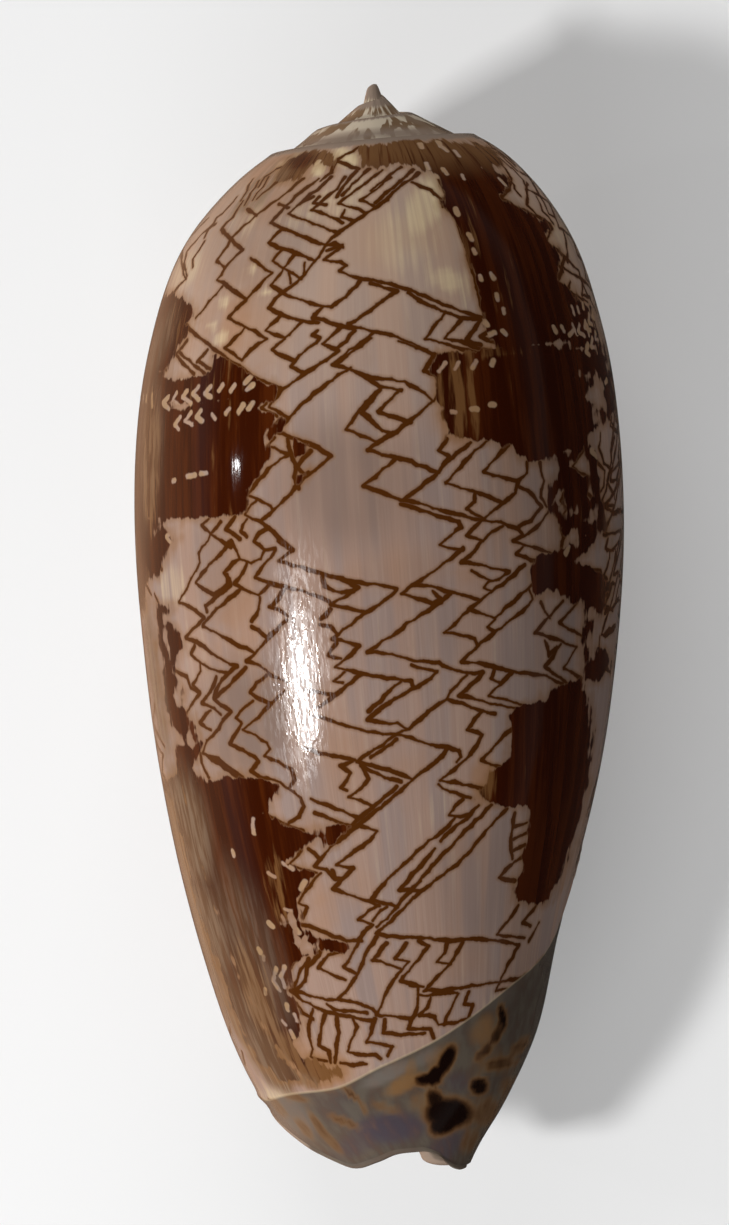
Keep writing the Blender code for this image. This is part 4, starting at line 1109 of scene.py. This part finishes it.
# The sheets that make the shell, each with its box in the baking map.
allSheets = {
    "bodySheet": (skinPoints, (0.004, 0.305, 0.996, 0.996)),
    "spireSheet": (spirePoints, (0.004, 0.004, 0.285, 0.285)),
    "lipSheet": (lipPoints, (0.872, 0.004, 0.9, 0.292)),
    "hollowSheet": (outerPoints, (0.3, 0.004, 0.62, 0.292)),
    "parietalSheet": (innerPoints, (0.635, 0.004, 0.86, 0.292)),
    "deepSheet": (deepPoints, (0.91, 0.004, 0.93, 0.292)),
    "frontSheet": (frontPoints, (0.94, 0.004, 0.958, 0.292)),
    "tipSheet": (tipPoints, (0.968, 0.004, 0.996, 0.292)),
}
fields = {
    "spireSheet": skinValues(spireTurned, spireD, spirePoints, False),
    "bodySheet": skinValues(bodyTurned, bodyD, skinPoints, True),
}
firstFace = {"spireSheet": 0, "bodySheet": len(quadsOf(spirePoints))}
sheets = []
for name, (points, mapBox) in allSheets.items():
    sheet, loops = addSheet(name, points, mapBox)
    count = points.shape[0] * points.shape[1]
    given = fields.get(name, {"patch": np.full(count, tentMarks["farOut"]), "bandLine": np.full(count, 3.0),
                              "inner": mouthShare(-points[..., 1]), "wind": points})
    for key in ("patch", "bandLine", "inner", *softFields):
        giveCorners(sheet, key, given.get(key, np.zeros(count)).reshape(-1)[loops])
    giveCorners(sheet, "wind", given["wind"].reshape(-1, 3)[loops])
    faceCount = len(sheet.data.polygons)
    places = np.zeros((faceCount * 4, 3))
    slots = np.tile(tentMarks["emptySlot"], (tentMarks["inkSlots"] + tentMarks["paleSlots"], faceCount, 1))
    if name in firstFace:
        mine = slice(firstFace[name], firstFace[name] + faceCount)
        corners = points.reshape(-1, 3)[loops].reshape(-1, 4, 3) - centres[mine][:, None]
        for k, axis in enumerate((acrossAxis, downAxis)):
            places[:, k] = np.einsum("ijk,ik->ij", corners, axis[mine]).ravel()
        slots = np.concatenate([inkSlots[:, mine], paleSlots[:, mine]])
    giveCorners(sheet, "place", places)
    for number, slot in enumerate(slots):
        kind = "ink" if number < tentMarks["inkSlots"] else "pale"
        layer = sheet.data.attributes.new(kind + str(number), "FLOAT_COLOR", "FACE")
        layer.data.foreach_set("color", slot.reshape(-1))
    sheets.append(sheet)
    print(name, len(sheet.data.vertices), faceCount)

bpy.ops.object.select_all(action="DESELECT")
for sheet in sheets:
    sheet.select_set(True)
bpy.context.view_layer.objects.active = sheets[0]
bpy.ops.object.join()
shell = bpy.context.active_object
shell.name = "oliveShell"
bpy.ops.object.mode_set(mode="EDIT")
bpy.ops.mesh.select_all(action="SELECT")
bpy.ops.mesh.remove_doubles(threshold=1e-7)
bpy.ops.mesh.select_mode(type="EDGE")
bpy.ops.mesh.select_all(action="DESELECT")
bpy.ops.mesh.select_non_manifold(use_wire=False, use_multi_face=False, use_non_contiguous=False, use_verts=False)
bpy.ops.mesh.fill_holes(sides=0)
bpy.ops.mesh.select_mode(type="FACE")
bpy.ops.mesh.select_all(action="SELECT")
bpy.ops.mesh.normals_make_consistent(inside=False)
bpy.ops.object.mode_set(mode="OBJECT")
bpy.ops.object.shade_smooth_by_angle(angle=math.radians(40))
print("shell", len(shell.data.vertices), len(shell.data.polygons))


# Colours are linear.
enamelLook = {
    "ground": (0.315, 0.205, 0.158),
    "lilac": (0.262, 0.188, 0.163),
    "peach": (0.31, 0.165, 0.092),
    # high: painted light, the lighter ground towards the spire end, as if lit from above it.
    "high": (0.56, 0.40, 0.28),
    "pale": (0.44, 0.325, 0.262),
    "darkTintAndShade": (0.185, 0.122, 0.095),
    "cream": (0.60, 0.47, 0.29),
    # A darker tint, for dark growth streaks and for the painted shade of the darker ovals.
    "umber": (0.115, 0.06, 0.03),
    "tan": (0.19, 0.125, 0.08),
    "line": (0.066, 0.0185, 0.0028),
    "gold": (0.20, 0.085, 0.02),
    "patchDark": (0.031, 0.0046, 0.0006),
    "patchWarm": (0.056, 0.0105, 0.0014),
    "patchGold": (0.175, 0.078, 0.026),
    "shoulderGold": (0.14, 0.064, 0.024),
    "paleMark": (0.34, 0.20, 0.085),
    "bandGround": (0.095, 0.076, 0.057),
    "bandPale": (0.15, 0.128, 0.11),
    "bandGrey": (0.046, 0.038, 0.035),
    "bandGold": (0.2, 0.1, 0.035),
    "violet": (0.045, 0.036, 0.055),
    "flameEdge": (0.075, 0.030, 0.010),
    "flame": (0.006, 0.002, 0.0012),
    "rim": (0.235, 0.175, 0.135),
    "knob": (0.27, 0.22, 0.185),
    "spireCream": (0.50, 0.42, 0.32),
    "spireBrown": (0.13, 0.066, 0.026),
    "inner": (0.62, 0.50, 0.40),
    "innerDeep": (0.52, 0.33, 0.20),
    "roughness": 0.06,
    "wornRoughness": 0.32,
    "ior": 1.34,
}


def addGroup(name, inputs, outputs):
    # A node group with named sockets, given as name and kind.
    group = bpy.data.node_groups.new(name, "ShaderNodeTree")
    for label, kind in inputs:
        group.interface.new_socket(label, in_out="INPUT", socket_type="NodeSocket" + kind)
    for label, kind in outputs:
        group.interface.new_socket(label, in_out="OUTPUT", socket_type="NodeSocket" + kind)
    return group, group.nodes.new("NodeGroupInput"), group.nodes.new("NodeGroupOutput")


def put(tree, kind, sockets=None, **settings):
    # A node with its settings and inputs; an input is a value or another node's output.
    node = tree.nodes.new("ShaderNode" + kind)
    for label, value in settings.items():
        setattr(node, label, value)
    for label, value in (sockets or {}).items():
        if isinstance(value, bpy.types.NodeSocket):
            tree.links.new(value, node.inputs[label])
        else:
            node.inputs[label].default_value = value
    return node


def sums(tree, operation, *values, clamp=False):
    node = put(tree, "Math", dict(enumerate(values)), operation=operation, use_clamp=clamp)
    return node.outputs[0]


def vectors(tree, operation, first, second):
    node = put(tree, "VectorMath", {0: first, 1: second}, operation=operation)
    return node.outputs["Value" if operation in ("DOT_PRODUCT", "DISTANCE") else "Vector"]


def ramp(tree, value, low, high, outLow=0.0, outHigh=1.0):
    node = put(tree, "MapRange", {"Value": value, "From Min": low, "From Max": high, "To Min": outLow,
                                  "To Max": outHigh}, interpolation_type="SMOOTHSTEP")
    return node.outputs["Result"]


def blend(tree, share, first, second):
    node = put(tree, "Mix", data_type="RGBA")
    for socket, value in ((node.inputs["Factor"], share), (node.inputs[6], first), (node.inputs[7], second)):
        if isinstance(value, bpy.types.NodeSocket):
            tree.links.new(value, socket)
        else:
            socket.default_value = (*value, 1.0) if isinstance(value, tuple) else value
    return node.outputs[2]


def strokeGroup():
    # Distance from a place on a face to one stroke.
    tree, given, result = addGroup("strokeReach", [("Place", "Vector"), ("Stroke", "Color"), ("Fall", "Float")],
                                   [("Reach", "Float")])
    parts = put(tree, "SeparateXYZ", {0: given.outputs["Stroke"]})
    start = put(tree, "CombineXYZ", {0: parts.outputs[0], 1: parts.outputs[1]}).outputs[0]
    run = put(tree, "CombineXYZ", {0: parts.outputs[2], 1: given.outputs["Fall"]}).outputs[0]
    away = vectors(tree, "SUBTRACT", given.outputs["Place"], start)
    share = sums(tree, "DIVIDE", vectors(tree, "DOT_PRODUCT", away, run), vectors(tree, "DOT_PRODUCT", run, run),
                 clamp=True)
    foot = put(tree, "VectorMath", {0: run, "Scale": share}, operation="SCALE").outputs[0]
    tree.links.new(vectors(tree, "DISTANCE", away, foot), result.inputs[0])
    return tree


def streakGroup():
    # Noise drawn out along the growth lines, from the winding place.
    tree, given, result = addGroup("growthStreaks", [("Wind", "Vector"), ("Across", "Float"), ("Along", "Float"),
                                                     ("Detail", "Float")], [("Streak", "Float")])
    pace = put(tree, "CombineXYZ", {0: given.outputs["Across"], 1: given.outputs["Along"]}).outputs[0]
    spread = vectors(tree, "MULTIPLY", given.outputs["Wind"], pace)
    noise = put(tree, "TexNoise", {"Vector": spread, "Scale": 1.0, "Detail": given.outputs["Detail"],
                                   "Roughness": 0.6}, noise_dimensions="2D")
    tree.links.new(noise.outputs[0], result.inputs[0])
    return tree


strokeReach = strokeGroup()
growthStreaks = streakGroup()


def streaks(tree, wind, across, along, detail=2.0):
    given = {"Wind": wind, "Across": across, "Along": along, "Detail": detail}
    return put(tree, "Group", given, node_tree=growthStreaks).outputs[0]


def nearestReach(tree, kind, numbers, place):
    # Smooth least of the distances to the strokes kept for a face.
    least = None
    for number in numbers:
        kept = put(tree, "Attribute", attribute_name=kind + str(number))
        given = {"Place": place, "Stroke": kept.outputs["Color"], "Fall": kept.outputs["Alpha"]}
        reach = put(tree, "Group", given, node_tree=strokeReach).outputs[0]
        least = reach if least is None else sums(tree, "SMOOTH_MIN", least, reach, tentMarks["cornerFill"])
    return least


def field(tree, name, output="Fac"):
    return put(tree, "Attribute", attribute_name=name).outputs[output]


def makeEnamel():
    look = enamelLook
    material = bpy.data.materials.new("shellEnamel")
    material.use_nodes = True
    tree = material.node_tree
    shader = tree.nodes["Principled BSDF"]
    wind = field(tree, "wind", "Vector")
    turned, depth, fromRim = put(tree, "SeparateXYZ", {0: wind}).outputs[:3]
    bandLine = field(tree, "bandLine")
    masks = [field(tree, name + "Mask") for name in ("gold", "cream", "umber", "violet", "darkTintAndShade", "flame", "worn")]
    gold, cream, umber, violet, darkTintAndShade, flameOn, wornOn = masks

    def noise(scale, detail=2.0):
        return put(tree, "TexNoise", {"Vector": wind, "Scale": scale, "Detail": detail}, noise_dimensions="2D")

    def streak(across, along, detail=2.0):
        return streaks(tree, wind, across, along, detail)

    def rise(*steps):
        return ramp(tree, *steps)

    def plus(first, second):
        return sums(tree, "ADD", first, second)

    def minus(first, second):
        return sums(tree, "SUBTRACT", first, second)

    def times(first, second):
        return sums(tree, "MULTIPLY", first, second)

    def swing(value, reach):
        # A noise swung about nought.
        return times(minus(value, 0.5), reach)

    def coated(skin, *coats):
        # Coats laid on a skin in turn, each a share and a colour of the look or another skin.
        for share, coat in coats:
            skin = blend(tree, share, skin, look[coat] if isinstance(coat, str) else coat)
        return skin

    # Ground: greyed peach and lilac in growth streaks, warmer in places, with painted light that makes it lighter
    # towards the spire end.
    broad = streak(0.35, 0.03)
    fine = streak(1.6, 0.05, 3.0)
    hair = streak(7.0, 0.12)
    cloud = noise(0.5, 3.0).outputs[0]
    tooth = noise(0.6).outputs[0]
    cloudy = swing(cloud, 0.5)
    streaky = swing(fine, 0.9)
    ragged = swing(tooth, 0.9)
    umberOn = rise(plus(umber, plus(streaky, cloudy)), 0.1, 0.75, 0.0, 0.92)
    ground = coated(look["ground"],
                    (rise(broad, 0.38, 0.62), "lilac"),
                    (rise(noise(0.11, 1.0).outputs[0], 0.5, 0.8, 0.0, 0.4), "peach"),
                    (rise(fine, 0.38, 0.75, 0.0, 0.2), "pale"),
                    (rise(hair, 0.45, 0.75, 0.0, 0.2), "darkTintAndShade"),
                    # Painted light: the ground grows lighter towards the spire end.
                    (rise(depth, 40.0, 8.0, 0.0, 0.35), "high"),
                    (rise(plus(gold, cloudy), 0.0, 1.0, 0.0, 0.8), "peach"),
                    # Painted shade in part: the darker ovals dim the ground.
                    (times(darkTintAndShade, rise(broad, 0.3, 0.6, 0.7, 1.0)), "darkTintAndShade"),
                    (rise(plus(cream, streaky), 0.05, 1.0, 0.0, 0.9), "cream"),
                    (umberOn, coated(look["umber"], (rise(fine, 0.42, 0.6), "tan"))))

    # Tent lines, with the place shaken a little so that their edges aren't ruled.
    centred = vectors(tree, "SUBTRACT", noise(1.7).outputs["Color"], (0.5, 0.5, 0.5))
    flat = vectors(tree, "MULTIPLY", centred, (tentMarks["shake"], tentMarks["shake"], 0.0))
    place = vectors(tree, "ADD", field(tree, "place", "Vector"), flat)
    slots = range(tentMarks["inkSlots"] + tentMarks["paleSlots"])
    inkReach = nearestReach(tree, "ink", slots[:tentMarks["inkSlots"]], place)
    paleReach = nearestReach(tree, "pale", slots[tentMarks["inkSlots"]:], place)
    swell = rise(noise(0.45, 1.0).outputs[0], 0.3, 0.7, -0.07, 0.05)
    within = minus(plus(swell, tentMarks["lineHalf"]), inkReach)
    line = rise(within, -0.06, 0.07)
    fringe = rise(within, -0.28, 0.0, 0.0, 0.4)

    # Dark patches with combed edges; streaks run from near black to mahogany and gold.
    comb = streak(1.3, 0.16, 3.0)
    patchAt = plus(field(tree, "patch"), plus(swing(comb, 0.9), ragged))
    patch = rise(patchAt, -0.08, 0.12)
    glow = rise(patchAt, -0.9, 0.1, 0.0, 0.5)
    shoulder = times(rise(depth, 10.0, 6.8), rise(comb, 0.3, 0.5, 0.25, 1.0))
    clear = minus(1.0, darkTintAndShade)
    umberStreaks = coated(look["umber"], (rise(comb, 0.42, 0.62), "tan"))
    deepBrown = coated(look["patchDark"],
                       (rise(streak(0.8, 0.05, 4.0), 0.42, 0.66), "patchWarm"),
                       (rise(plus(gold, swing(comb, 2.4)), 0.45, 1.1, 0.0, 0.8), "patchGold"),
                       (times(shoulder, clear), "shoulderGold"),
                       (times(times(umber, clear), 0.85), umberStreaks))
    paleEdge = sums(tree, "MULTIPLY_ADD", tooth, tentMarks["paleRagged"],
                    tentMarks["paleHalf"] - tentMarks["paleRagged"] / 2)
    pale = rise(minus(paleEdge, paleReach), -0.08, 0.08)
    paleSkin = coated(ground, (rise(tooth, 0.4, 0.6, 0.1, 0.6), "paleMark"))

    # Front band: cream and violet, with soft flames.
    flame = plus(flameOn, times(cloudy, 0.8))
    bandSkin = coated(look["bandGround"],
                      (rise(cloud, 0.25, 0.8), "bandGrey"),
                      (rise(plus(cream, cloudy), 0.0, 1.0, 0.0, 0.9), "bandPale"),
                      (rise(plus(violet, cloudy), -0.2, 1.2, 0.0, 0.85), "violet"),
                      (rise(plus(gold, cloudy), -0.1, 1.2, 0.0, 0.85), "bandGold"),
                      (rise(flame, -0.1, 0.45, 0.0, 0.6), "bandGold"),
                      (rise(flame, 0.08, 0.65, 0.0, 0.85), "flameEdge"),
                      (rise(flame, 0.32, 0.92), "flame"))
    bandEdge = times(rise(sums(tree, "ABSOLUTE", bandLine), 0.18, 0.03), 0.25)

    # Spire and the grey rim of the suture.
    onSpire = rise(turned, -53.2, -54.0)
    flecks = plus(minus(umber, times(cream, 1.4)), swing(streak(0.3, 0.5), 2.2))
    spireSkin = coated(look["spireCream"], (rise(flecks, -0.05, 0.3, 0.0, 0.9), "spireBrown"),
                       (times(violet, 0.9), "rim"))
    rimAt = plus(minus(fromRim, times(onSpire, -0.7)), ragged)

    # Inside of the mouth and the callus.
    innerCloud = put(tree, "TexNoise", {"Vector": wind, "Scale": 0.12, "Detail": 2.0}).outputs[0]
    inner = coated(look["inner"], (rise(innerCloud, 0.4, 0.7, 0.0, 0.6), "innerDeep"))

    skin = coated(ground, (fringe, "gold"), (glow, "gold"),
                  (patch, coated(deepBrown, (pale, paleSkin))),
                  (times(line, minus(1.0, patch)), "line"),
                  (rise(bandLine, -0.12, 0.12), bandSkin), (bandEdge, "cream"),
                  (onSpire, spireSkin), (rise(rimAt, 2.2, 1.7), "rim"),
                  (rise(turned, -386.0, -393.0, 0.0, 0.9), "knob"),
                  (field(tree, "inner"), inner))
    tree.links.new(skin, shader.inputs["Base Color"])

    # Polish: a thin worn mottle, growth lines and a slow swell, heights in mm.
    shader.inputs["IOR"].default_value = look["ior"]
    worn = times(rise(streak(4.0, 0.7, 4.0), 0.4, 0.62), wornOn)
    tree.links.new(rise(worn, 0.0, 1.0, look["roughness"], look["wornRoughness"]), shader.inputs["Roughness"])
    height = plus(times(hair, 0.0012), times(fine, 0.006))
    height = plus(height, times(noise(0.13, 1.0).outputs[0], 0.09))
    height = plus(height, times(streak(1.6, 0.5, 3.0), times(wornOn, 0.03)))
    height = times(height, rise(turned, -390.0, -300.0))
    bump = put(tree, "Bump", {"Height": height, "Strength": 1.0, "Distance": 0.001})
    tree.links.new(bump.outputs[0], shader.inputs["Normal"])
    return material


shell.data.materials.clear()
shell.data.materials.append(makeEnamel())
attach(shell, "root")
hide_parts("shell")
print("enamel ready")

# Floor, light and camera.
studio = {
    "floorSize": 6.0,
    "floorPaint": {"Base Color": (0.58, 0.58, 0.58, 1), "Roughness": 0.7, "Emission Color": (1, 1, 1, 1),
                   "Emission Strength": 0.26},
    "sensor": 36.0,
    "aimHeight": 0.02,
    "airHigh": (0.02, 0.02, 0.02),
    "airLeft": (0.32, 0.31, 0.30),
    "airRight": (0.14, 0.14, 0.14),
    "underLeft": (0.62, 0.36, 0.22),
    "underRight": (0.03, 0.027, 0.025),
}
# Degrees left and in front of the camera's line, distance, size, energy, and whether the polish shows it.
lamps = {
    "keyLight": (37, 19, 0.6, 0.085, 2.9, True),
    "sideLight": (64, -14, 0.6, 0.018, 0.12, True),
    "topLight": (5, -66, 0.7, 0.5, 2.6, False),
    "frontLight": (14, 58, 0.7, 0.5, 2.2, False),
}
bpy.ops.object.select_all(action="DESELECT")
bpy.ops.mesh.primitive_plane_add(size=studio["floorSize"], location=(0, 0, 0))
floor = bpy.context.active_object
floor.name = "floor"
floorPaint = bpy.data.materials.new("paleFloor")
floorPaint.use_nodes = True
for label, value in studio["floorPaint"].items():
    floorPaint.node_tree.nodes["Principled BSDF"].inputs[label].default_value = value
floor.data.materials.append(floorPaint)
floor.visible_glossy = False

lay = layMatrix()
facing = Matrix([Vector(lay @ way) for way in (rightWay, upWay, backWay)]).transposed().to_4x4()
camera = bpy.data.objects.new("camera", bpy.data.cameras.new("camera"))
bpy.context.scene.collection.objects.link(camera)
eye = (lay @ eyePlace - np.array(shellForm["restShift"])) * 0.001
camera.matrix_world = Matrix.Translation(Vector(eye)) @ facing
camera.data.sensor_width = studio["sensor"]
camera.data.lens = studio["sensor"] * photoView["distance"] / photoView["frameHeight"]
camera.data.clip_start = 0.01
bpy.context.scene.camera = camera


def addLamp(name, leftDeg, frontDeg, distance, size, energy, glints):
    # A square soft light that faces the shell.
    way = Matrix.Rotation(math.radians(-leftDeg), 3, "Y") @ Vector((0, 0, 1))
    way = Matrix.Rotation(math.radians(frontDeg), 3, "X") @ way
    lamp = bpy.data.objects.new(name, bpy.data.lights.new(name, "AREA"))
    lamp.data.energy = energy
    lamp.data.size = size
    lamp.visible_glossy = glints
    lamp.location = Vector((0, 0, studio["aimHeight"])) + way * distance
    lamp.rotation_euler = way.to_track_quat("Z", "Y").to_euler()
    bpy.context.scene.collection.objects.link(lamp)


for name, settings in lamps.items():
    addLamp(name, *settings)
air = bpy.data.worlds.new("studioAir")
bpy.context.scene.world = air
air.use_nodes = True
airTree = air.node_tree
sky = put(airTree, "SeparateXYZ", {0: put(airTree, "TexCoord").outputs["Generated"]})
toRight = ramp(airTree, sky.outputs[0], -0.6, 0.0)
aside = blend(airTree, toRight, studio["airLeft"], studio["airRight"])
level = blend(airTree, ramp(airTree, sky.outputs[2], 0.0, 0.3), aside, studio["airHigh"])
under = blend(airTree, toRight, studio["underLeft"], studio["underRight"])
airColour = blend(airTree, ramp(airTree, sky.outputs[2], 0.0, -0.1), level, under)
airTree.links.new(airColour, airTree.nodes["Background"].inputs["Color"])
bpy.context.scene.view_settings.view_transform = "Standard"
